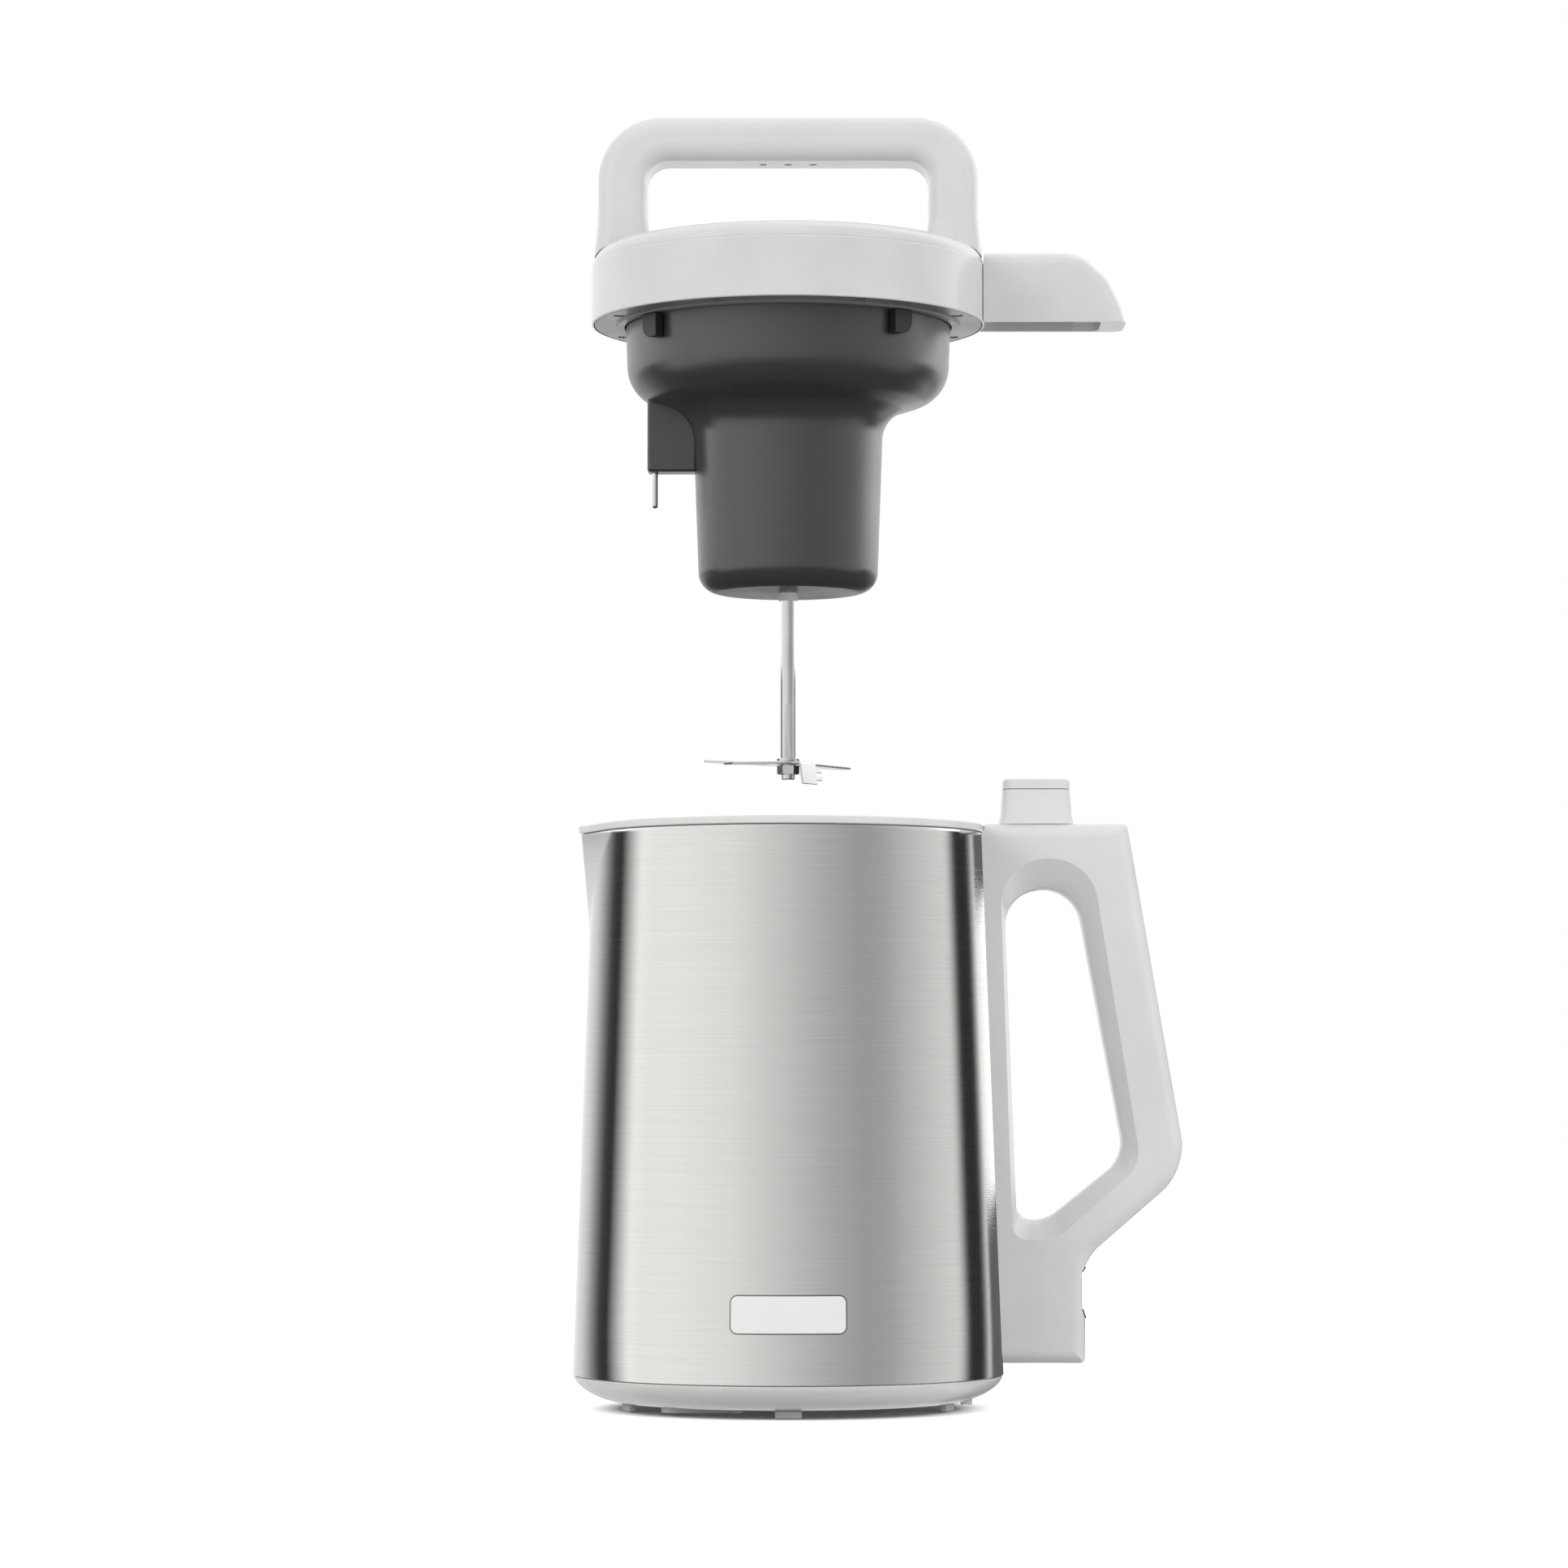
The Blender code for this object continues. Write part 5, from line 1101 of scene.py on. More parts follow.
@dataclass
class Handle:
    """The jug's handle with its finger opening, trough, inlet, end cap and plug-in post.

    Depths are measured out from the steel wall.
    """

    workshop: Workshop
    jug: Jug
    half_width: float = 0.0140
    edge: float = 0.0052
    sink: float = 0.0180
    bottom: float = 0.0174
    rise: float = 0.0003
    face_depth: float = 0.0308
    face_corner: float = 0.0020
    neck: Corner = (0.0327, 0.0573, 0.0130)
    elbow: Corner = (0.0729, 0.0911, 0.0220)
    shoulder_depth: float = 0.0552
    shoulder_corner: float = 0.0015
    grip_wall_depth: float = 0.0072
    grip_low: float = 0.0718
    grip_low_depth: float = 0.0187
    grip_low_corners: Point = (0.0060, 0.0120)
    grip_elbow: Corner = (0.0495, 0.0958, 0.0130)
    grip_high: float = 0.1982
    grip_high_depth: float = 0.0346
    grip_high_corner: float = 0.0140
    flare_depth: float = 0.0075
    flare_side: float = 0.0056
    flare_wall: float = 0.0020
    flare_top: float = 0.0115
    flare_bottom: float = 0.0075
    flare_corner: float = 0.0035
    flare_slope: tuple[Point, ...] = (
        (0, 0), (0.35, 0.35), (0.7, 0.7), (0.85, 0.87), (0.95, 1.02), (1, 1.25),
    )
    trough_depth: float = 0.0012
    trough_height: float = 0.0141
    trough_centre: float = 0.0450
    trough_leans: Point = (2.76, 1.76)
    # The black strips on the trough's ends are painted shade: their lengths, thickness and rise off
    # the trough's floor.
    shade_strip_lengths: Point = (0.0038, 0.0026)
    shade_strip_thickness: float = 0.0006
    lip_rise: float = 0.00005
    inlet_size: Size = (0.0250, 0.0156, 0.0030)
    inlet_depth: float = 0.0190
    inlet_floor: float = 0.0035
    inlet_wall: float = 0.0010
    cap_margin: float = 0.0050
    cap_corner: float = 0.0030
    cap_pocket: float = 0.0029
    cap_low: float = 0.0006
    cap_high: float = 0.0026
    cap_edge: float = 0.0003
    post_setback: float = 0.0079
    post_length: float = 0.0255
    post_width: float = 0.0190
    post_corner: float = 0.0040
    post_height: float = 0.0134
    post_foot_flare: float = 0.0014
    post_flare_height: float = 0.0032
    post_flare: float = 0.0007
    post_floor: float = 0.0024
    post_wall: float = 0.0018
    post_cap_height: float = 0.0037
    post_cap_edge: float = 0.0009
    post_cap_steps: int = 5
    socket_radius: float = 0.0019
    socket_spacing: float = 0.0080

    def at_wall(self, depth: float, height: float, radius: float) -> Corner:
        """Return a corner that stands a depth out from the steel wall."""
        return (self.jug.wall_radius(height) + depth, height, radius)

    @property
    def top(self) -> float:
        """The handle's height."""
        return self.jug.rim_top + self.rise

    @property
    def post_centre(self) -> float:
        """How far out the post stands."""
        return self.jug.wall_radius(self.top) + self.post_setback + self.post_length / 2

    @property
    def trough_floor(self) -> float:
        """How far out the trough's floor stands."""
        return self.jug.wall_radius(self.bottom) + self.face_depth - self.trough_depth

    def outline(self) -> list[Corner]:
        """Work out the handle's side view.

        Returns:
            The corners, counter-clockwise from the wall's foot.
        """
        return [
            self.at_wall(-self.sink, self.bottom, 0),
            self.at_wall(self.face_depth, self.bottom, self.face_corner),
            self.at_wall(*self.neck),
            self.at_wall(*self.elbow),
            self.at_wall(self.shoulder_depth, self.top, self.shoulder_corner),
            self.at_wall(-self.sink, self.top, 0),
        ]

    def grip(self) -> list[Corner]:
        """Work out the finger opening's outline.

        Returns:
            The corners, counter-clockwise from the wall's lower one.
        """
        return [
            self.at_wall(self.grip_wall_depth, self.grip_low, self.grip_low_corners[0]),
            self.at_wall(self.grip_low_depth, self.grip_low, self.grip_low_corners[1]),
            self.at_wall(*self.grip_elbow),
            self.at_wall(self.grip_high_depth, self.grip_high, self.grip_high_corner),
            self.at_wall(self.grip_wall_depth, self.grip_high, self.grip_high_corner),
        ]

    def grip_cutter(self) -> Solid:
        """Make the finger opening's cutter, which widens in a scoop towards the handle's faces.

        Returns:
            The cutter.
        """
        side = self.flare_side
        shifts = [
            (-self.flare_wall, -self.flare_bottom), (side / 2, -self.flare_bottom),
            (side, -side / 2), (side, self.flare_top), (-self.flare_wall, self.flare_top),
        ]
        rings = []
        for share, down in self.flare_slope:
            left = 1 - share
            corners = []
            for (across, up, radius), (out, rise) in zip(self.grip(), shifts):
                wider = self.flare_corner * left if rise == self.flare_top else 0
                corners.append((across + out * left, up + rise * left, radius + wider))
            rings.append((self.half_width - self.flare_depth * down, corners, 0))
        far = [(self.half_width + OVERRUN, rings[0][1], 0)] + rings
        near = [(-distance, corners, grow) for distance, corners, grow in far]
        return Solid.bridged(near + far[::-1], Plane.FRONT)

    def make_grip(self) -> None:
        """Make the handle's moulding and its end cap."""
        jug = self.jug
        solid = Solid.soft_slab(self.outline(), self.half_width, self.edge)
        solid.cut(self.grip_cutter())
        low, high = jug.seam_height - OVERRUN, jug.rim_top + OVERRUN
        rim = jug.rim_radius + GAP
        seat = [
            (0, low), (jug.wall_radius(low) + GAP, low),
            (jug.wall_radius(jug.steel_top) + GAP, jug.steel_top), (rim, jug.steel_top),
            (rim, high), (0, high),
        ]
        solid.cut(Solid.turned(seat, SEGMENTS * 2))
        floor, centre, half = self.trough_floor, self.trough_centre, self.trough_height / 2
        low, high = centre - half, centre + half
        trough = [
            (floor, low, LEAST_RADIUS),
            (floor + OVERRUN, low - OVERRUN * self.trough_leans[0], LEAST_RADIUS),
            (floor + OVERRUN, high + OVERRUN * self.trough_leans[1], LEAST_RADIUS),
            (floor, high, LEAST_RADIUS),
        ]
        past = self.half_width + OVERRUN
        solid.cut(Solid.slab(trough, -past, past, Plane.FRONT, steps=1))
        inlet_low = floor - self.inlet_depth - GAP
        solid.cut(Solid.slab(self.inlet_corners(), inlet_low, floor + OVERRUN, Plane.SIDE, GAP))
        low, high = self.bottom - OVERRUN, self.bottom + self.cap_pocket
        solid.cut(Solid.slab(self.cap_corners(), low, high, Plane.PLAN, GAP))
        self.workshop.piece("handle_moulding", solid, Finishes.WHITE, Body.JUG, "jug_handle")
        low, high = self.bottom + self.cap_low, self.bottom + self.cap_high
        cap = Solid.slab(self.cap_corners(), low, high, Plane.PLAN).soften(self.cap_edge)
        self.workshop.piece("handle_cap", cap, Finishes.WHITE, Body.JUG, "handle_end_cap")

    def make_trough_shade_strips(self) -> None:
        """Make two black strips on the trough's sloping ends, as painted shade where the ends lie
        in shadow.
        """
        floor = self.trough_floor + self.lip_rise
        half = self.half_width - self.edge
        shade_strips = Solid()
        for side, lean, length in zip((-1, 1), self.trough_leans, self.shade_strip_lengths):
            along = Vector((1, side * lean)).normalized()
            out = Vector((lean, -side)).normalized() * self.shade_strip_thickness
            start = Vector((floor, self.trough_centre + side * self.trough_height / 2))
            end = start + along * length
            spots = [start, end, end + out, start + out]
            if side > 0:
                spots = spots[:1] + spots[:0:-1]
            corners = [(spot.x, spot.y, LEAST_RADIUS / 2) for spot in spots]
            shade_strips.add(Solid.slab(corners, -half, half, Plane.FRONT, steps=1))
        self.workshop.piece("trough_shade_strips", shade_strips, Finishes.BLACK, Body.JUG)

    def inlet_corners(self) -> list[Corner]:
        """Return the inlet's outline."""
        return box_corners(*self.inlet_size, up=self.trough_centre)

    def cap_corners(self) -> list[Corner]:
        """Work out the end cap's outline.

        Returns:
            The corners.
        """
        wall = self.jug.wall_radius(self.bottom)
        inner, outer = wall + self.cap_margin, wall + self.face_depth - self.cap_margin
        width = 2 * (self.half_width - self.cap_margin)
        return box_corners(outer - inner, width, self.cap_corner, (outer + inner) / 2)

    def make_inlet(self) -> None:
        """Make the inlet's shroud with its open socket."""
        outline, high = self.inlet_corners(), self.trough_floor
        low = high - self.inlet_depth
        solid = Solid.slab(outline, low, high, Plane.SIDE)
        floor = low + self.inlet_floor
        solid.cut(Solid.slab(outline, floor, high + OVERRUN, Plane.SIDE, -self.inlet_wall))
        self.workshop.piece("inlet_shroud", solid, Finishes.WHITE, Body.JUG, "mains_inlet")

    def make_post(self) -> None:
        """Make the plug-in post with its foot's flare and its separate cap."""
        low, high = self.top + GAP, self.top + self.post_height
        centre = self.post_centre
        corners = box_corners(self.post_length, self.post_width, self.post_corner, centre)
        flare = (low + self.post_flare_height, self.post_flare)
        layers = [(low, self.post_foot_flare), flare, (high, 0)]
        solid = Solid.layered(corners, layers, Plane.PLAN)
        floor = low + self.post_floor
        solid.cut(Solid.slab(corners, floor, high + OVERRUN, Plane.PLAN, -self.post_wall))
        self.workshop.piece("post_moulding", solid, Finishes.WHITE, Body.JUG, "connector_post")
        low, edge = high + GAP, self.post_cap_edge
        start = low + self.post_cap_height - edge
        turns = quarter(self.post_cap_steps)
        rounded = [(start + edge * math.sin(turn), edge * (math.cos(turn) - 1)) for turn in turns]
        cap = Solid.layered(corners, [(low, 0), *rounded], Plane.PLAN)
        for number in THREE:
            hole = Solid.disc(self.socket_radius, low - OVERRUN, low + 2 * OVERRUN)
            cap.cut(hole.move(centre + self.socket_spacing * number))
        self.workshop.piece("post_lid", cap, Finishes.WHITE, Body.JUG, "post_cap")

    def keep_out_of_mirror(self) -> None:
        """Let the steel beside the handle mirror the studio's dark flag, as in the photograph."""
        pieces = ("handle_moulding", "handle_cap", "trough_shade_strips", "inlet_shroud")
        pins = ("inlet_pin_live", "inlet_pin_neutral", "inlet_pin_earth")
        things = [bpy.data.objects[name] for name in pieces]
        for thing in things + [frame["nodes"][name] for name in pins]:
            thing.visible_glossy = False

    def make(self) -> None:
        """Make all of the handle's pieces."""
        self.make_grip()
        self.make_trough_shade_strips()
        self.make_inlet()
        self.make_post()
        self.keep_out_of_mirror()


@dataclass
class Lid:
    """The lid: its band, rounded top, flange plate and the plate's screws."""

    workshop: Workshop
    radius: float = 0.0762
    band_height: float = 0.0228
    band_wall: float = 0.0026
    band_edge: float = 0.0006
    shoulder: float = 0.0080
    shoulder_height: float = 0.0063
    crown: float = 0.0020
    wall: float = 0.0022
    outer_steps: int = 14
    inner_steps: int = 10
    seam_step: float = 0.0007
    seam_fill_share: float = 0.9
    flange_height: float = 0.0023
    flange_radius: float = 0.0751
    flange_edge: float = 0.0004
    hole: float = 0.0633
    ridge: float = 0.0034
    ridge_height: float = 0.0010
    screw_count: int = 8
    screw_circle: float = 0.0700
    screw_radius: float = 0.0019
    screw_root: float = 0.0001
    screw_side: float = 0.00025
    screw_dome: float = 0.0006
    screw_steps: int = 6
    screw_room: float = 0.0004
    screw_sink: float = 0.0010
    pocket_clearance: float = 0.00005
    slot_size: Size = (0.0022, 0.0005, LEAST_RADIUS)
    slot_floor: float = 0.0004

    def top_profile(self, inset: float, steps: int) -> list[Point]:
        """Work out the lid top's profile.

        Args:
            inset: how far it lies inside the top's outside.
            steps: steps of its shoulder, and as many of its crown.

        Returns:
            The profile from the edge to the middle.
        """
        low = self.band_height + GAP
        flat = self.radius - self.shoulder
        width = self.shoulder - self.seam_step - inset
        height = self.shoulder_height - inset
        turns = quarter(steps)
        shoulder = [
            (flat + width * math.cos(turn), low + height * math.sin(turn)) for turn in turns
        ]
        for step in range(1, steps + 1):
            share = 1 - step / steps
            shoulder.append((flat * share, low + height + self.crown * (1 - share * share)))
        return shoulder

    def make_band(self) -> None:
        """Make the band with its rebate for the flange and a low step that closes its seam."""
        inner = self.radius - self.band_wall
        rebate = self.flange_radius + GAP
        ledge = self.flange_height + GAP
        step, step_top = self.radius - self.seam_step, self.band_height + GAP * self.seam_fill_share
        profile = [
            (self.radius, self.band_height), (self.radius, 0), (rebate, 0), (rebate, ledge),
            (inner, ledge), (inner, step_top), (step, step_top), (step, self.band_height),
        ]
        solid = Solid.turned(profile, closed=True)
        solid.soften(
            self.band_edge, 5, MOULDED_ANGLE,
            lambda edge: abs(edge.verts[0].co.xy.length - self.radius) < WELD,
        )
        self.workshop.piece("band_moulding", solid, Finishes.LID, Body.HEAD, "lid_band")

    def make_top(self) -> None:
        """Make the lid's top shell."""
        outside = self.top_profile(0, self.outer_steps)
        solid = Solid.turned(outside[::-1] + self.top_profile(self.wall, self.inner_steps))
        self.workshop.piece("top_moulding", solid, Finishes.LID, Body.HEAD, "lid_top")

    def make_flange(self) -> None:
        """Make the flange plate with its centring ridge, and the screws sunk in it."""
        profile = [
            (self.flange_radius, self.flange_height), (self.flange_radius, 0),
            (self.hole + self.ridge, 0), (self.hole + self.ridge, -self.ridge_height),
            (self.hole, -self.ridge_height), (self.hole, self.flange_height),
        ]
        solid = Solid.turned(profile, closed=True).soften(self.flange_edge, 3, MOULDED_ANGLE)
        screws, pockets = Solid(), Solid()
        pocket_floor = self.screw_sink + self.pocket_clearance
        for number in range(self.screw_count):
            angle = math.radians(360 * (number + 0.5) / self.screw_count)
            across = self.screw_circle * math.cos(angle)
            aside = self.screw_circle * math.sin(angle)
            pocket = Solid.disc(self.screw_radius + self.screw_room, -OVERRUN, pocket_floor)
            pockets.add(pocket.move(across, aside))
            screws.add(self.screw().turn(angle).move(across, aside, self.screw_sink))
        solid.cut(pockets)
        self.workshop.piece("flange_moulding", solid, Finishes.FLANGE, Body.HEAD, "flange_plate")
        self.workshop.piece("flange_screws", screws, Finishes.BRIGHT, Body.HEAD)

    def screw(self) -> Solid:
        """Make a pan-head screw seen from below, with its cross recess.

        Returns:
            The screw.
        """
        radius, root = self.screw_radius, self.screw_root
        dome = [
            (radius * math.cos(turn), -self.screw_side - self.screw_dome * math.sin(turn))
            for turn in quarter(self.screw_steps)
        ]
        profile = [(0, root), (radius, root)] + dome[:-1] + [(0, dome[-1][1])]
        solid = Solid.turned(profile, PIN_SEGMENTS)
        for turn in (0, math.pi / 2):
            outline = box_corners(*self.slot_size)
            slot = Solid.slab(outline, -OVERRUN / 2, -self.slot_floor, Plane.PLAN, steps=1)
            solid.cut(slot.turn(turn))
        return solid

    def make(self) -> None:
        """Make all of the lid's pieces."""
        self.make_band()
        self.make_top()
        self.make_flange()


@dataclass
class Housing:
    """The moulded motor housing with its fin, probe and locating tabs."""

    workshop: Workshop
    lid: Lid
    collar: float = 0.0630
    taper: float = 0.0007
    collar_depth: float = 0.0161
    collar_corner: float = 0.0150
    lip_rise: float = 0.0016
    lip_height: float = 0.0020
    lip_reach: float = 0.0040
    slope: float = math.radians(18)
    fillet: float = 0.0130
    barrel: float = 0.0365
    barrel_taper: float = 0.0018
    barrel_corner: float = 0.0080
    depth: float = 0.1039
    bore: float = 0.0040
    wall: float = 0.0024
    outer_steps: int = 16
    inner_steps: int = 10
    fin_reach: float = 0.0179
    fin_bottom: float = 0.0572
    fin_half: float = 0.0055
    fin_edge: float = 0.0012
    fin_corner: float = 0.0012
    probe_radius: float = 0.00115
    probe_length: float = 0.0138
    probe_inset: float = 0.0029
    probe_seat: float = 0.0050
    tab_angles_degrees: Point = (-142.5, -49.0)
    tab_width: float = 0.0086
    tab_depth: float = 0.0034
    tab_height: float = 0.0090
    tab_corner: float = 0.0048
    tab_edge: float = 0.0004

    def shelf_height(self, across: float) -> float:
        """Work out the height of the sloping shelf's outside.

        Args:
            across: the distance from the axis.

        Returns:
            The height.
        """
        start = self.collar - self.taper - self.collar_corner
        start += self.collar_corner * math.sin(self.slope)
        depth = self.collar_depth + self.collar_corner * math.cos(self.slope)
        return (across - start) * math.tan(self.slope) - depth

    def side(self, inset: float, steps: int) -> list[Point]:
        """Work out the side's profile.

        Args:
            inset: how far it lies inside the housing's outside.
            steps: steps of each of its round stretches.

        Returns:
            The profile from the collar to the bottom.
        """
        upper = (self.collar - self.taper - self.collar_corner, -self.collar_depth)
        across = self.barrel + self.fillet
        fillet = (across, self.shelf_height(across) - self.fillet / math.cos(self.slope))
        lower_across = self.barrel - self.barrel_taper - self.barrel_corner
        lower = (lower_across, self.barrel_corner - self.depth)
        turn = math.pi / 2 - self.slope
        points = arc(upper, self.collar_corner - inset, 0, -turn, steps)
        points += arc(fillet, self.fillet + inset, math.pi - turn, math.pi, steps)
        return points + arc(lower, self.barrel_corner - inset, 0, -math.pi / 2, steps)

    def make_housing(self) -> None:
        """Make the stepped housing and the fin on its spout side, and the probe in the fin."""
        lip_low = self.lid.flange_height + self.lip_rise
        lip_top = lip_low + self.lip_height
        lip = self.collar + self.lip_reach
        profile = [(lip, lip_top), (lip, lip_low), (self.collar, lip_low)]
        profile += self.side(0, self.outer_steps)
        profile += [(self.bore, -self.depth), (self.bore, self.wall - self.depth)]
        profile += self.side(self.wall, self.inner_steps)[::-1]
        solid = Solid.turned(profile + [(self.collar - self.wall, lip_top)], closed=True)
        root = self.barrel - self.wall / 2
        reach = self.barrel + self.fin_reach
        sunk = self.wall / 2 / math.cos(self.slope)
        corners = [
            (root, -self.fin_bottom, 0), (reach, -self.fin_bottom, self.fin_corner),
            (reach, self.shelf_height(reach) + sunk, 0),
            (root, self.shelf_height(root) + sunk, self.fillet + self.wall / 2),
        ]
        fin = Solid.soft_slab(corners, self.fin_half, self.fin_edge)
        solid.cut(fin.turn(math.pi), Cut.JOIN)
        probe = self.probe_inset - reach
        low, high = -self.fin_bottom - OVERRUN, self.probe_seat + GAP - self.fin_bottom
        seat = Solid.disc(self.probe_radius + GAP, low, high, PIN_SEGMENTS)
        solid.cut(seat.move(probe))
        self.workshop.piece("housing_moulding", solid, Finishes.DARK, Body.HEAD, "motor_housing")
        self.make_probe(probe)

    def make_probe(self, across: float) -> None:
        """Make the level sensor's steel rod with its rounded end.

        Args:
            across: where it stands.
        """
        radius = self.probe_radius
        bottom = -self.fin_bottom - self.probe_length
        top = self.probe_seat - self.fin_bottom
        end = arc((0, bottom + radius), radius, 0, -math.pi / 2, EDGE_STEPS)
        solid = Solid.turned([(0, top), (radius, top)] + end[:-1] + [(0, bottom)], PIN_SEGMENTS)
        self.workshop.piece(
            "probe_rod", solid.move(across), Finishes.BRIGHT, Body.HEAD, "level_probe"
        )

    def make_tabs(self) -> None:
        """Make the two black tabs, each rounded at its outer lower corner."""
        top = -self.lid.ridge_height - GAP
        low, half = top - self.tab_height, self.tab_width / 2
        inner = self.collar + GAP
        for name, angle, outer in zip(("left", "right"), self.tab_angles_degrees, (-1, 1)):
            radii = {outer: self.tab_corner, -outer: LEAST_RADIUS}
            lower = [(-half, low, radii[-1]), (half, low, radii[1])]
            corners = lower + [(half, top, LEAST_RADIUS), (-half, top, LEAST_RADIUS)]
            solid = Solid.slab(corners, inner, inner + self.tab_depth, Plane.SIDE)
            solid.soften(self.tab_edge, 3, MOULDED_ANGLE).turn(math.radians(angle))
            node = f"locating_tab_{name}"
            self.workshop.piece(f"tab_{name}", solid, Finishes.BLACK, Body.HEAD, node)

    def make(self) -> None:
        """Make all of the housing's pieces."""
        self.make_housing()
        self.make_tabs()


@dataclass
class Arm:
    """The plug-in arm over the handle's post, with a shallow recess round its cavity."""

    workshop: Workshop
    lid: Lid
    handle: Handle
    half_width: float = 0.0140
    edge: float = 0.0050
    foot_edge: float = 0.0009
    top: float = 0.0270
    reach: float = 0.0542
    sink: float = 0.0120
    nose: float = 0.0180
    nose_corner: float = 0.0130
    nose_shares: tuple[Point, ...] = ((0.87, 0.27), (0.6, 0.64), (0, 1))
    wall: float = 0.0023
    toe: float = 0.0095
    recess_depth: float = 0.0030
    cavity_room: float = 0.0036
    cavity_corner: float = 0.0030
    trim_size: Size = (0.4, 0.08, LEAST_RADIUS)

    def make(self) -> None:
        """Make the arm's moulding, open below."""
        tip = self.lid.radius + self.reach
        start = tip - self.nose
        inner = self.lid.radius - self.sink
        bend = [
            (start + self.nose * across, self.top * up, self.nose_corner)
            for across, up in self.nose_shares
        ]
        lean = (tip - bend[0][0]) / bend[0][1]
        corners = [(inner, -self.edge, 0), (tip + self.edge * lean, -self.edge, LEAST_RADIUS)]
        corners += bend + [(inner, self.top, 0)]
        solid = Solid.soft_slab(corners, self.half_width, self.edge)
        low, high = -2 * self.edge, self.top + OVERRUN
        solid.cut(Solid.disc(self.lid.radius + GAP, low, high, SEGMENTS))
        solid.cut(Solid.slab(box_corners(*self.trim_size), -3 * self.edge, 0, Plane.PLAN, steps=1))
        solid.soften(
            self.foot_edge, 4, MOULDED_ANGLE,
            lambda edge: max(abs(vert.co.z) for vert in edge.verts) < WELD,
        )
        width, corner = 2 * (self.half_width - self.wall), self.cavity_corner
        length = self.handle.post_length + 2 * self.cavity_room
        near, far = self.lid.radius - self.wall, tip - self.toe
        cavity = box_corners(length, width, corner, self.handle.post_centre)
        recess = box_corners(far - near, width, corner, (near + far) / 2)
        for outline, high in ((cavity, self.top - self.wall), (recess, self.recess_depth)):
            solid.cut(Solid.slab(outline, low, high, Plane.PLAN))
        self.workshop.piece("arm_moulding", solid, Finishes.HEAD_WHITE, Body.HEAD, "connector_arm")


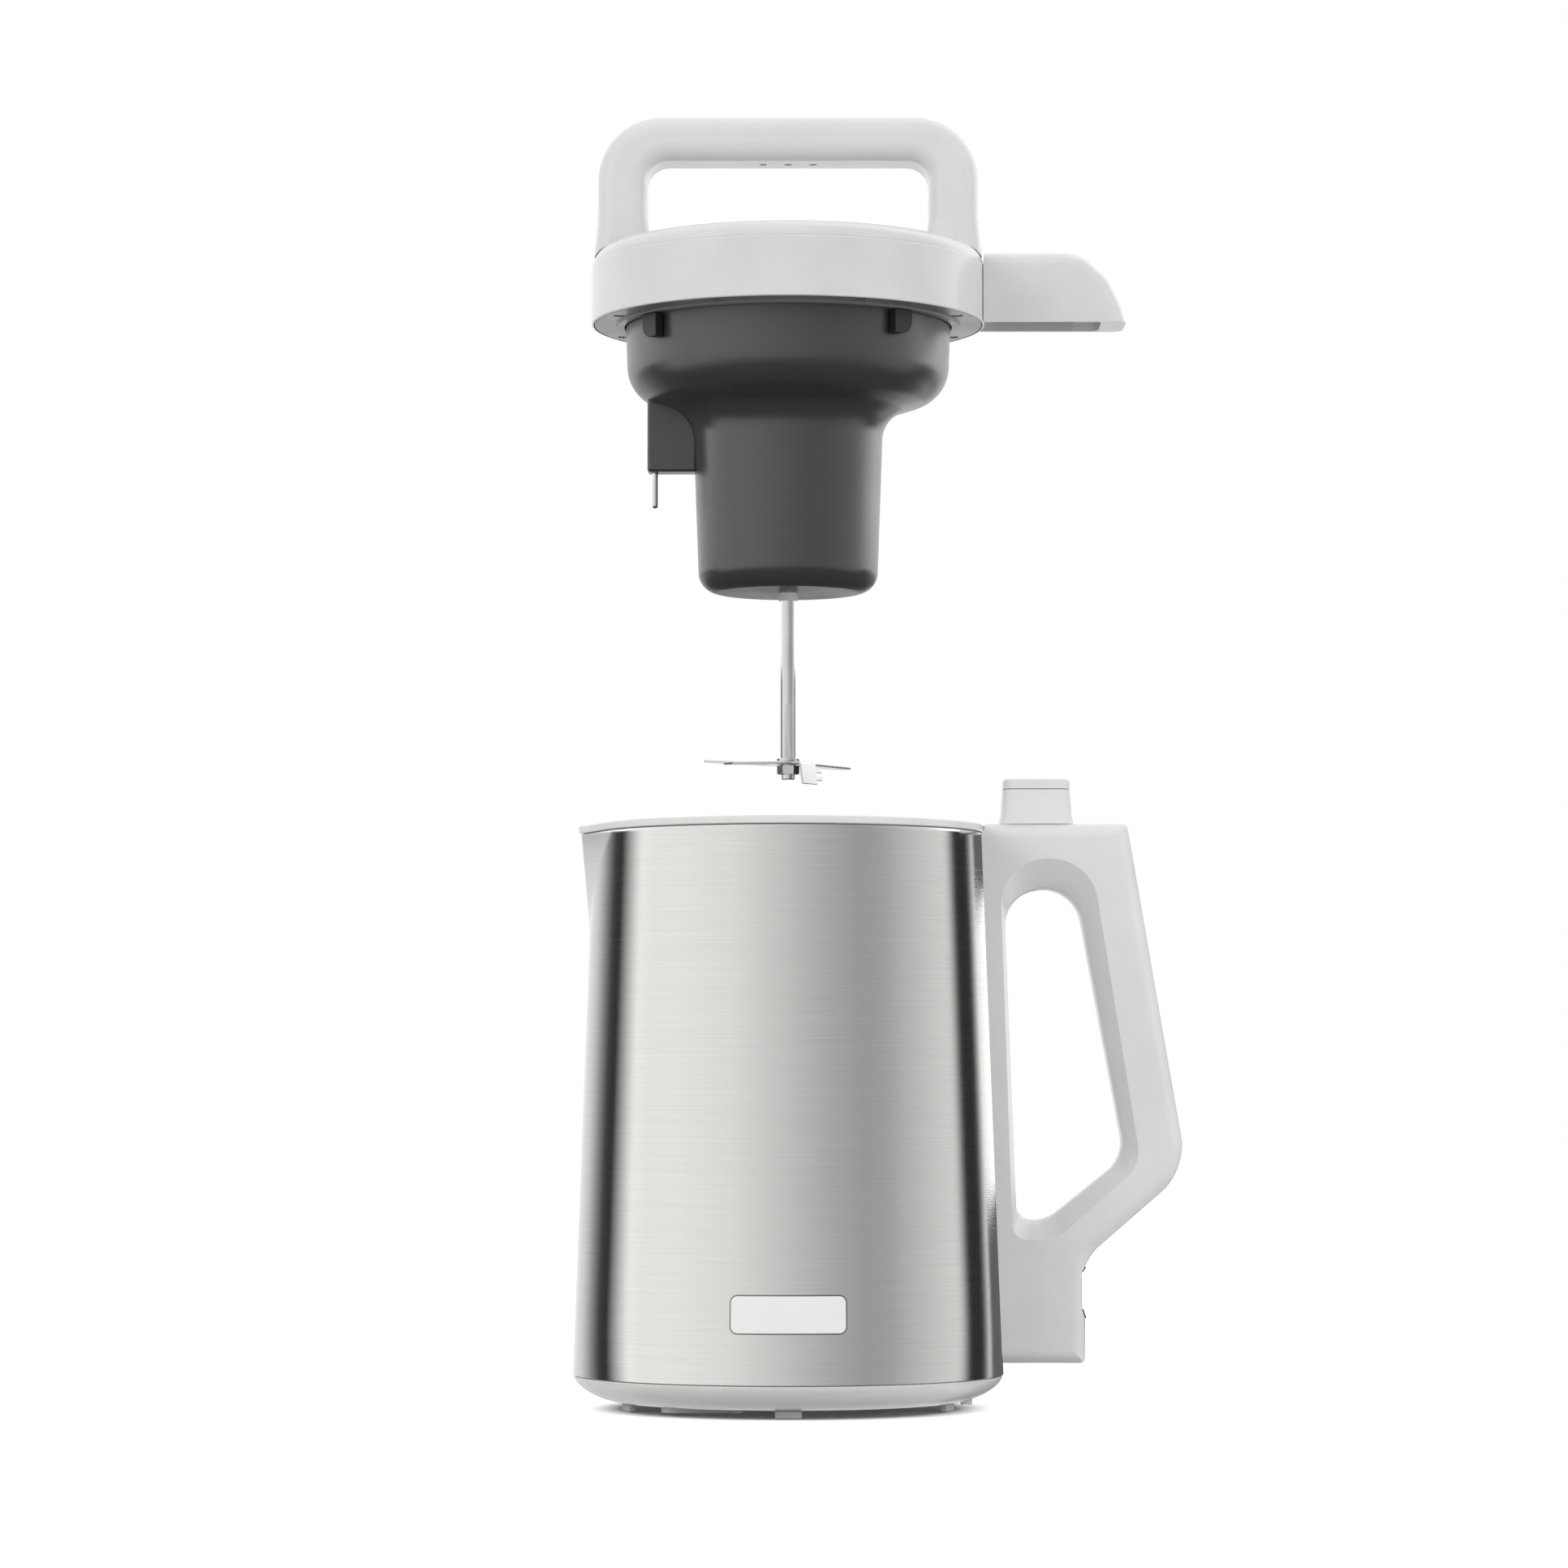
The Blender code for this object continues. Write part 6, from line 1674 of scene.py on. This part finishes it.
@dataclass
class CarryHandle:
    """The carry handle on the lid, with the panel and buttons in its top."""

    workshop: Workshop
    lid: Lid
    span: float = 0.0735
    half_width: float = 0.0140
    edge: float = 0.0068
    leg: float = 0.0189
    bar: float = 0.0169
    top: float = 0.0803
    outer_corner: float = 0.0245
    inner_corner: float = 0.0085
    foot_height: float = 0.0410
    foot_flare: float = 0.0021
    foot_toe: float = 0.0036
    foot_corner: float = 0.0080
    # Three holes under the bar; the black disc sunk in each is painted shade.
    under_hole_spacing: float = 0.0097
    shade_disc_radius: float = 0.00145
    under_hole_radius: float = 0.00155
    under_hole_depth: float = 0.0012
    shade_disc_sink: float = 0.0002
    panel_size: Size = (0.0840, 0.0170, 0.0040)
    panel_thickness: float = 0.0017
    panel_ledge: float = 0.0022
    pocket_depth: float = 0.0090
    set_back: float = 0.0003
    button_size: Size = (0.0120, 0.0080, 0.0036)
    button_spacing: float = 0.0240
    button_crown: float = 0.0005
    button_steps: int = 4
    flange_height: float = 0.0012
    flange_reach: float = 0.0008
    stem_inset: float = 0.0026
    stem_room: float = 0.0014
    travel: float = 0.0012

    def outline(self) -> list[Corner]:
        """Work out the arch's front view.

        Returns:
            The corners, counter-clockwise from the right foot.
        """
        inner = self.span - self.leg
        low = self.lid.band_height - OVERRUN
        under = self.top - self.bar
        right = [
            (inner - self.foot_toe, low, 0), (self.span + self.foot_flare, low, 0),
            (self.span, self.foot_height, self.foot_corner),
            (self.span, self.top, self.outer_corner),
        ]
        inside = [(-inner, under, self.inner_corner), (inner, under, self.inner_corner)]
        left = [(-across, up, radius) for across, up, radius in reversed(right)]
        foot = (inner, self.foot_height, self.foot_corner)
        return right + left + [(-foot[0], *foot[1:])] + inside + [foot]

    def make_arch(self) -> None:
        """Make the arch, seated on the lid, with the panel's pocket and three holes under its bar,
        each with a black disc sunk in it as painted shade.
        """
        solid = Solid.soft_slab(self.outline(), self.half_width, self.edge)
        lid = self.lid.top_profile(0, self.lid.outer_steps)
        lid = [(radius + GAP, height + GAP) for radius, height in lid]
        lid[-1] = (0, lid[-1][1])
        low = self.lid.band_height - 2 * OVERRUN
        solid.cut(Solid.turned(lid[::-1] + [(lid[0][0], low), (0, low)]))
        outline = box_corners(*self.panel_size)
        ledge = self.top - self.set_back - self.panel_thickness - GAP
        floor, past = self.top - self.pocket_depth, ledge + OVERRUN / 8
        layers = [(self.top + OVERRUN, GAP), (ledge, GAP)]
        solid.cut(Solid.layered(outline, layers, Plane.PLAN))
        solid.cut(Solid.slab(outline, floor, past, Plane.PLAN, -self.panel_ledge))
        shade_discs = Solid()
        under = self.top - self.bar
        high = under + self.under_hole_depth
        for number in THREE:
            across = self.under_hole_spacing * number
            hole = Solid.disc(self.under_hole_radius, under - OVERRUN, high, PIN_SEGMENTS)
            solid.cut(hole.move(across))
            low = under + self.shade_disc_sink
            # The black disc in each hole stands for the shade inside it: painted shade.
            shade_discs.add(Solid.disc(self.shade_disc_radius, low, high, PIN_SEGMENTS).move(across))
        self.workshop.piece("arch_moulding", solid, Finishes.HEAD_WHITE, Body.HEAD, "carry_handle")
        self.workshop.piece("bar_shade_discs", shade_discs, Finishes.BLACK, Body.HEAD)

    def make_panel(self) -> None:
        """Make the glossy panel and the three buttons that come up through it."""
        top = self.top - self.set_back
        under = top - self.panel_thickness
        panel = Solid.slab(box_corners(*self.panel_size), under, top, Plane.PLAN)
        button = box_corners(*self.button_size)
        places = [self.button_spacing * number for number in THREE]
        for across in places:
            hole = Solid.slab(button, under - OVERRUN, top + OVERRUN, Plane.PLAN, GAP)
            panel.cut(hole.move(across))
        self.workshop.piece("panel_plate", panel, Finishes.PANEL, Body.HEAD, "control_panel")
        flange_top = -self.panel_thickness - GAP
        flange_low = flange_top - self.flange_height
        stem_low = -self.pocket_depth + GAP + self.stem_room + self.set_back + self.travel + GAP
        crown = self.button_crown
        cap = [
            (-crown + crown * math.sin(turn), crown * (math.cos(turn) - 1))
            for turn in quarter(self.button_steps)
        ]
        for number, across in enumerate(places, start=1):
            solid = Solid.slab(button, stem_low, flange_low, Plane.PLAN, -self.stem_inset)
            solid.add(Solid.slab(button, flange_low, flange_top, Plane.PLAN, self.flange_reach))
            solid.add(Solid.layered(button, [(flange_top, 0), *cap], Plane.PLAN))
            body = f"button_{number}"
            solid.move(across, 0, top)
            self.workshop.piece(f"key_{number}", solid, Finishes.BUTTON, body, body)

    def make(self) -> None:
        """Make all of the carry handle's pieces."""
        self.make_arch()
        self.make_panel()


@dataclass
class Spindle:
    """The shaft below the housing, its bush, and the stamped blade with its washer and nut."""

    workshop: Workshop
    housing: Housing
    radius: float = 0.0030
    neck: float = 0.0026
    reach: float = 0.0724
    shoulder: float = 0.0638
    chamfer: float = 0.0004
    flat_length: float = 0.0215
    flat_depth: float = 0.00035
    washer_radius: float = 0.0045
    washer_height: float = 0.0012
    ring_edge: float = 0.0002
    thickness: float = 0.0010
    blade_edge: float = 0.00018
    blade_reach: float = 0.0390
    root: float = 0.0052
    tip_half: float = 0.0030
    sweep: float = 0.0022
    wing_angles_degrees: Corner = (143, 53, -127)
    wing_bends_degrees: Corner = (-4.5, 0.0, 3.5)
    bend_reach: float = 0.0080
    bend_radius: float = 0.0014
    bend_steps: int = 6
    stub_angle: float = math.radians(-37)
    stub_bend: float = math.radians(82)
    stub_reach: float = 0.0180
    stub_bend_reach: float = 0.0096
    stub_half: float = 0.0046
    stub_tip: float = 0.0016
    tooth_count: int = 2
    tooth_depth: float = 0.0036
    tooth_width: float = 0.0018
    tooth_pitch: float = 0.0030
    hub_share: float = 1.5
    nut_flats: float = 0.0074
    nut_height: float = 0.0035
    nut_chamfer: float = 0.0006
    nut_slope: float = 0.55
    nut_blank: Point = (0.02, 1.0)
    bush_room: float = 0.0001

    @property
    def shoulder_height(self) -> float:
        """The height of the shaft's shoulder."""
        return -self.housing.depth - self.shoulder

    def make_shaft(self) -> None:
        """Make the shaft, with two flats above its shoulder."""
        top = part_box("drive_shaft")[1].z - HEAD_SEAT.z
        end = -self.housing.depth - self.reach
        shoulder, chamfer = self.shoulder_height, self.chamfer
        profile = [
            (0, top), (self.radius - chamfer, top), (self.radius, top - chamfer),
            (self.radius, shoulder), (self.neck, shoulder), (self.neck, end + chamfer),
            (self.neck - chamfer, end), (0, end),
        ]
        solid = Solid.turned(profile, ROD_SEGMENTS)
        low = shoulder - OVERRUN / 4
        for side in (-1, 1):
            centre = side * (self.radius - self.flat_depth + OVERRUN / 2)
            flat = box_corners(5 * OVERRUN, OVERRUN, LEAST_RADIUS, 0, centre)
            solid.cut(Solid.slab(flat, low, low + self.flat_length, Plane.PLAN, steps=1))
        self.workshop.piece("shaft_rod", solid, Finishes.BRIGHT, Body.SPINDLE, "drive_shaft")

    def fold(self, solid: Solid, angle: float, reach: float, bend: float) -> None:
        """Bend a wing of the flat blank along a narrow strip across it.

        Args:
            solid: the flat blank.
            angle: the wing's direction.
            reach: how far from the middle the bend lies.
            bend: the angle of the bend.
        """
        along = Vector((math.cos(angle), math.sin(angle), 0))
        across = Vector((-math.sin(angle), math.cos(angle), 0))
        strip = self.bend_radius * abs(bend)
        steps = self.bend_steps
        lines = [along * (reach + strip * (step / steps - 0.5)) for step in range(steps)]
        for line in lines:
            solid.slice(line, along)
        matrix = Matrix.Rotation(bend / steps, 3, across)
        for line in reversed(lines):
            outer = [vert for vert in solid.bm.verts if (vert.co - line).dot(along) > WELD]
            bmesh.ops.rotate(solid.bm, verts=outer, cent=line, matrix=matrix)

    def make_blade(self) -> None:
        """Make the four-wing blade, one wing short, toothed and folded down."""
        tip = [(self.blade_reach - self.sweep, -self.tip_half), (self.blade_reach, self.tip_half)]
        wings = [
            (math.radians(angle), tip, self.bend_reach, math.radians(bend))
            for angle, bend in zip(self.wing_angles_degrees, self.wing_bends_degrees)
        ]
        stub = [(self.stub_reach, -self.stub_half), (self.stub_reach, self.stub_half)]
        crest = self.stub_half + self.tooth_depth
        for number in range(self.tooth_count):
            outer = self.stub_reach - self.stub_tip - self.tooth_pitch * number
            inner = outer - self.tooth_width
            stub += [(outer, self.stub_half), (outer, crest)]
            stub += [(inner, crest), (inner, self.stub_half)]
        wings.append((self.stub_angle, stub, self.stub_bend_reach, self.stub_bend))
        solid = Solid()
        bm = solid.bm
        blank = []
        for angle, spots, _, _ in sorted(wings):
            turn = Matrix.Rotation(angle, 2)
            blank += [turn @ Vector(spot) for spot in [(self.root, -self.root), *spots]]
        bm.faces.new([bm.verts.new((*point, 0)) for point in blank])
        for angle, _, reach, bend in wings:
            if bend:
                self.fold(solid, angle, reach, bend)
        solid.outwards()
        bmesh.ops.solidify(bm, geom=bm.faces[:], thickness=self.thickness)
        solid.outwards()
        hub = self.root * self.hub_share
        heights = [vert.co.z for vert in bm.verts if vert.co.xy.length < hub]
        centre = (max(heights) + min(heights)) / 2
        level = self.shoulder_height - self.washer_height - 2 * GAP - self.thickness / 2
        solid.move(0, 0, level - centre).soften(self.blade_edge, 2, STAMPED_ANGLE)
        bore = self.neck + GAP
        solid.cut(Solid.disc(bore, level - OVERRUN, level + OVERRUN, PIN_SEGMENTS))
        self.workshop.piece("blade_stamping", solid, Finishes.BLADE, Body.SPINDLE, "blade")

    def ring(self, outer: float, inner: float, low: float, high: float) -> Solid:
        """Make a flat ring with rounded edges.

        Args:
            outer: its outside radius.
            inner: its bore's radius.
            low: its lower face's height.
            high: its upper face's height.

        Returns:
            The ring.
        """
        profile = [(outer, high), (outer, low), (inner, low), (inner, high)]
        return Solid.turned(profile, ROD_SEGMENTS, closed=True).soften(self.ring_edge, 2)

    def make_fastening(self) -> None:
        """Make the washer, the nut with its chamfered corners, and the bush."""
        bore = self.neck + GAP
        top = self.shoulder_height - GAP
        low = top - self.washer_height
        washer = self.ring(self.washer_radius, bore, low, top)
        self.workshop.piece("washer_ring", washer, Finishes.BRIGHT, Body.SPINDLE, "blade_washer")
        top = low - 2 * GAP - self.thickness
        low = top - self.nut_height
        corner, chamfer = self.nut_flats / math.sqrt(3), self.nut_chamfer
        past = top + OVERRUN
        cone = [
            (0, low), (corner - chamfer, low),
            (corner + chamfer, low + 2 * chamfer * self.nut_slope), (corner + chamfer, past),
            (0, past),
        ]
        radius, half = self.nut_blank
        outside = Solid.disc(radius, -half, half).cut(Solid.turned(cone, ROD_SEGMENTS))
        nut = Solid.disc(corner, low, top, 6).cut(outside)
        nut.cut(Solid.disc(bore, low - OVERRUN, past, PIN_SEGMENTS))
        self.workshop.piece("nut_hexagon", nut, Finishes.BRIGHT, Body.SPINDLE, "blade_nut")
        low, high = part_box("shaft_bush")
        outer, inner = (high.x - low.x) / 2, self.radius + self.bush_room
        bush = self.ring(outer, inner, low.z - HEAD_SEAT.z, high.z - HEAD_SEAT.z)
        self.workshop.piece("bush_ring", bush, Finishes.NYLON, Body.HEAD, "shaft_bush")

    def make(self) -> None:
        """Make all of the spindle's visible pieces."""
        self.make_shaft()
        self.make_blade()
        self.make_fastening()


@dataclass
class Inside:
    """The pieces that the closed jug and head hide, dressed as they are."""

    workshop: Workshop
    dressing: tuple[tuple[Finish, tuple[str, ...]], ...] = (
        (Finishes.CAST, ("heater_plate",)),
        (Finishes.ELEMENT, ("heating_element",)),
        (Finishes.BLACK, ("thermostat", "arm_connector", "cooling_fan")),
        (Finishes.NYLON, ("thermal_fuse",)),
        (Finishes.BRASS, ("inlet_pin_live", "inlet_pin_neutral", "inlet_pin_earth")),
        (Finishes.BRASS, ("post_socket_1", "post_socket_2", "post_socket_3")),
        (Finishes.BRASS, ("contact_pin_1", "contact_pin_2", "contact_pin_3")),
        (Finishes.SEAL, ("housing_gasket", "motor_buffer")),
        (Finishes.BOARD, ("control_board", "power_board")),
        (Finishes.MOTOR, ("motor_can", "end_bell")),
        (Finishes.BRIGHT, ("lower_bearing", "upper_bearing")),
        (Finishes.CORE, ("stator",)),
        (Finishes.CARBON, ("carbon_brush_1", "carbon_brush_2")),
        (Finishes.COPPER, ("rotor",)),
    )

    def make(self) -> None:
        """Dress every hidden node."""
        for finish, nodes in self.dressing:
            self.workshop.dress(finish, nodes)


@dataclass(frozen=True)
class Lamp:
    """A soft box: where it stands, how large it is and how bright."""

    name: str
    place: Corner
    size: Point
    watts: float


@dataclass
class Studio:
    """The camera, the pale floor and backdrop, and soft light.

    Angles of levels and flags are degrees from the camera towards the right. The levels are what
    shiny surfaces see there, where 1 is white.
    """

    focal_length: float = 113.67
    sensor_width: float = 36.0
    camera_aside: float = -0.0016
    camera_distance: float = 1.906
    camera_height: float = 0.1192
    camera_pitch: float = math.radians(93.602)
    lamp_target: Corner = (0, 0, 0.25)
    ambient: float = 0.48
    mirrored: float = 2.2
    behind_level: float = 1.06
    underfoot_share: float = 0.42
    underfoot_fade: Point = (-0.8, -0.45)
    under_level: float = 0.09
    under_height: float = 0.262
    under_fade: Point = (0.19, 0.36)
    floor_radius: float = 9.0
    floor_sink: float = 0.0002
    floor_roughness: float = 0.7
    floor_glow: float = 3.2
    floor_share: float = 0.28
    floor_shown: float = 0.86
    floor_bounce: float = 0.62
    shadow_fade: Point = (0.064, 0.081)
    wall_radius: float = 0.078
    surround_radius: float = 0.6
    surround_heights: Point = (-0.32, 0.335)
    flag_level: float = 0.13
    flag_inset: float = 0.02
    flag_angles: Point = (133.0, 165.0)
    flag_heights: tuple[Point, ...] = ((-0.32, 0.076), (0.225, 0.28))
    lamps: tuple[Lamp, ...] = (
        Lamp("key_light", (-1.9, -1.3, 1.2), (1.4, 1.4), 25.0),
        Lamp("fill_light", (1.9, -1.4, 0.9), (1.2, 1.6), 23.0),
        Lamp("top_light", (0.0, 0.2, 2.3), (1.8, 1.8), 11.0),
    )
    middle_levels: tuple[Point, ...] = (
        (-80, 0.99), (-60, 0.98), (-30, 0.89), (0, 0.66), (20, 0.5), (39, 0.4), (52, 0.43),
        (65, 0.56),
    )
    jug_levels: tuple[Point, ...] = (
        (-175, 1.0), (-160, 0.86), (-146, 0.72), (-138, 0.5), (-131, 0.27), (-123, 0.06),
        (-114, 0.02), (-107, 0.4), (-98, 0.94), (90, 0.72), (105, 0.8), (110, 0.42), (114, 0.03),
        (130, 0.03), (135, 0.4), (140, 1.0), (150, 1.2), (170, 1.2),
    )
    head_levels: tuple[Point, ...] = (
        (-160, 1.2), (-137, 1.25), (-112, 1.3), (-98, 1.1), (90, 0.8), (104, 1.2), (112, 2.0),
        (134, 2.2), (150, 1.4), (165, 1.2),
    )

    def make_camera(self) -> None:
        """Place the camera as the photograph was taken."""
        camera = placed("camera", bpy.data.cameras.new("camera"))
        camera.data.lens = self.focal_length
        camera.data.sensor_width = self.sensor_width
        across = JUG_AXIS.x + self.camera_aside
        camera.location = (across, -self.camera_distance, self.camera_height)
        camera.rotation_euler = (self.camera_pitch, 0, 0)
        bpy.context.scene.camera = camera

    def make_lamps(self) -> None:
        """Place the soft boxes, each turned to the object's middle."""
        for lamp in self.lamps:
            data = bpy.data.lights.new(lamp.name, "AREA")
            data.shape = "RECTANGLE"
            data.size, data.size_y = lamp.size
            data.energy = lamp.watts
            light = placed(lamp.name, data)
            light.location = lamp.place
            light.visible_glossy = False
            facing = Vector(lamp.place) - Vector(self.lamp_target)
            light.rotation_euler = facing.to_track_quat("Z", "Y").to_euler()

    def surround(self, graph: Graph, around: Socket, levels: Sequence[Point]) -> Socket:
        """Add brightness levels that change with the direction round the set.

        Args:
            graph: the node tree to add them to.
            around: the direction, or the place about the jug's axis.
            levels: angles, each with its level, besides the middle levels.

        Returns:
            The level's socket, as a share of the brightest.
        """
        turn = graph.add("TexGradient", {"Vector": around}, gradient_type="RADIAL")
        ramp = graph.add("ValToRGB", {"Fac": turn.outputs["Fac"]})
        elements = ramp.color_ramp.elements
        elements[0].position, elements[1].position = 0.0, 1.0
        edge = self.behind_level / self.mirrored
        elements[0].color = elements[1].color = (edge, edge, edge, 1)
        levels = (*levels, *self.middle_levels)
        stops = [((0.25 + angle / 360) % 1, level) for angle, level in levels]
        for place, level in sorted(stops):
            share = level / self.mirrored
            elements.new(place).color = (share, share, share, 1)
        return ramp.outputs["Color"]

    def make_world(self) -> None:
        """Light the object evenly before a white background.

        Shiny surfaces mirror the studio's walls, which are bright at the sides, softer towards the
        camera and dimmer below the table.
        """
        world = bpy.data.worlds.new("studio")
        bpy.context.scene.world = world
        world.use_nodes = True
        graph = Graph(world.node_tree)
        light = graph.tree.nodes["Background"]
        graph.feed(light.inputs["Color"], WHITE)
        graph.feed(light.inputs["Strength"], self.ambient)
        way = graph.add("TexCoord").outputs["Generated"]
        rays = graph.add("LightPath").outputs
        levels = self.surround(graph, way, self.head_levels)
        height = graph.add("SeparateXYZ", {0: way}).outputs["Z"]
        strengths = (self.mirrored * self.underfoot_share, self.mirrored)
        strength = graph.spread(height, self.underfoot_fade, strengths)
        walls = graph.add("Background", {"Color": levels, "Strength": strength})
        white = graph.add("Background", {"Color": WHITE})
        shiny = graph.greater(rays["Is Glossy Ray"], rays["Is Transmission Ray"])
        for_metal = graph.blend(shiny, light.outputs[0], walls.outputs[0])
        for_camera = graph.blend(rays["Is Camera Ray"], for_metal, white.outputs[0])
        graph.feed(graph.tree.nodes["World Output"].inputs["Surface"], for_camera)

    def seen_at(self, angle: float) -> float:
        """Return where the ring stands that the jug's wall mirrors at an angle."""
        aside = self.wall_radius * math.sin(math.radians(angle) / 2) / self.surround_radius
        return angle - math.degrees(math.asin(aside))

    def for_mirrors(self, name: str, bm: bmesh.types.BMesh) -> bpy.types.Object:
        """Make a stage object on the jug's axis that shiny surfaces alone see.

        Args:
            name: the object's name.
            bm: its faces, which are freed.

        Returns:
            The object.
        """
        thing = placed(name, bpy.data.meshes.new(name))
        bm.to_mesh(thing.data)
        bm.free()
        thing.location = JUG_AXIS
        thing.visible_camera = thing.visible_diffuse = thing.visible_shadow = False
        thing.visible_transmission = thing.visible_volume_scatter = False
        return thing

    def band(
        self, name: str, angles: Point, heights: Sequence[Point], radius: float
    ) -> bpy.types.Object:
        """Stand upright bands on an arc about the jug's axis, seen by shiny surfaces alone.

        Args:
            name: the object's name.
            angles: where the arc starts and ends.
            heights: the lowest and highest point of each band.
            radius: the arc's radius.

        Returns:
            The bands.
        """
        bm = bmesh.new()
        start, end = (math.radians(angle) for angle in angles)
        for low, high in heights:
            verts = [
                bm.verts.new((radius * math.sin(start), -radius * math.cos(start), level))
                for level in (low, high)
            ]
            bmesh.ops.spin(
                bm, geom=verts + [bm.edges.new(verts)], axis=(0, 0, 1), cent=(0, 0, 0),
                angle=end - start, steps=STAGE_SEGMENTS, use_merge=end - start == math.tau,
            )
        return self.for_mirrors(name, bm)

    def make_ring(self) -> None:
        """Stand a low ring of studio walls round the jug, and a grey flag where the handle is.

        The ring has the jug's two dark flags, which give the steel its dark edges; the head stands
        above it.
        """
        radius = self.surround_radius
        ring = self.band("surround", (0, 360), (self.surround_heights,), radius)
        surface = Surface("surround_levels")
        place = surface.add("TexCoord").outputs["Object"]
        levels = [(self.seen_at(angle), level) for angle, level in self.jug_levels]
        glow = surface.glow(self.mirrored)
        surface.feed(glow.inputs["Color"], self.surround(surface, place, levels))
        surface.show(glow.outputs[0])
        flag = self.band(
            "handle_flag", self.flag_angles, self.flag_heights, radius - self.flag_inset
        )
        grey = Surface("handle_flag_levels")
        grey.show(grey.glow(self.flag_level).outputs[0])
        for thing, look in ((ring, surface), (flag, grey)):
            look.stay_unsampled()
            thing.data.materials.append(look.material)

    def make_under_flag(self) -> None:
        """Lay a dim flag under the lifted head, which only what lies above it mirrors.

        It fades out towards its rim, and from below it isn't there.
        """
        bm = bmesh.new()
        radius = self.under_fade[1]
        bmesh.ops.create_circle(bm, cap_ends=True, segments=STAGE_SEGMENTS, radius=radius)
        bmesh.ops.translate(bm, vec=(0, 0, self.under_height), verts=bm.verts)
        flag = self.for_mirrors("under_flag", bm)
        surface = Surface("under_flag_level")
        place = surface.add("TexCoord").outputs["Object"]
        flat = surface.add("VectorMath", {0: place, 1: (1, 1, 0)}, operation="MULTIPLY")
        faded = surface.spread(surface.length(flat.outputs["Vector"]), self.under_fade, (0, 1))
        behind = surface.add("NewGeometry").outputs["Backfacing"]
        clear = surface.add("BsdfTransparent").outputs[0]
        glow = surface.glow(self.under_level).outputs[0]
        surface.show(surface.blend(surface.greater(faded, behind), glow, clear))
        surface.stay_unsampled()
        flag.data.materials.append(surface.material)

    def make_floor(self) -> None:
        """Lay a pale floor that shows white, keeps the shadow and throws little light up."""
        bm = bmesh.new()
        radius = self.floor_radius
        bmesh.ops.create_circle(bm, cap_ends=True, segments=STAGE_SEGMENTS, radius=radius)
        floor = placed("floor", bpy.data.meshes.new("floor"))
        bm.to_mesh(floor.data)
        bm.free()
        floor.location = (JUG_AXIS.x, 0, -self.floor_sink)
        floor.visible_glossy = False
        surface = Surface("floor_white")
        seen = surface.add("LightPath").outputs["Is Camera Ray"]
        shown = surface.spread(seen, (0, 1), (self.floor_bounce, self.floor_shown))
        surface.set(Base_Color=shown, Roughness=self.floor_roughness, Metallic=0)
        away = surface.length(surface.add("TexCoord").outputs["Object"])
        beyond = surface.spread(away, self.shadow_fade, (0, self.floor_share))
        share = surface.add("Math", {0: seen, 1: beyond}, operation="MULTIPLY").outputs[0]
        glow = surface.glow(self.floor_glow).outputs[0]
        surface.show(surface.blend(share, surface.shader.outputs[0], glow))
        floor.data.materials.append(surface.material)

    def make(self) -> None:
        """Set up the whole studio."""
        self.make_camera()
        self.make_lamps()
        self.make_world()
        self.make_ring()
        self.make_under_flag()
        self.make_floor()
        bpy.context.scene.view_settings.view_transform = "Standard"


def main() -> None:
    """Build every sub-assembly, dress the rest and set up the studio."""
    logging.basicConfig(level=logging.INFO, format="%(message)s")
    workshop = Workshop(Finishes())
    jug = Jug(workshop)
    handle = Handle(workshop, jug)
    lid = Lid(workshop)
    housing = Housing(workshop, lid)
    parts = (
        jug, handle, lid, housing, Arm(workshop, lid, handle), CarryHandle(workshop, lid),
        Spindle(workshop, housing), Inside(workshop), Studio(),
    )
    for part in parts:
        part.make()


if __name__ == "__main__":
    main()
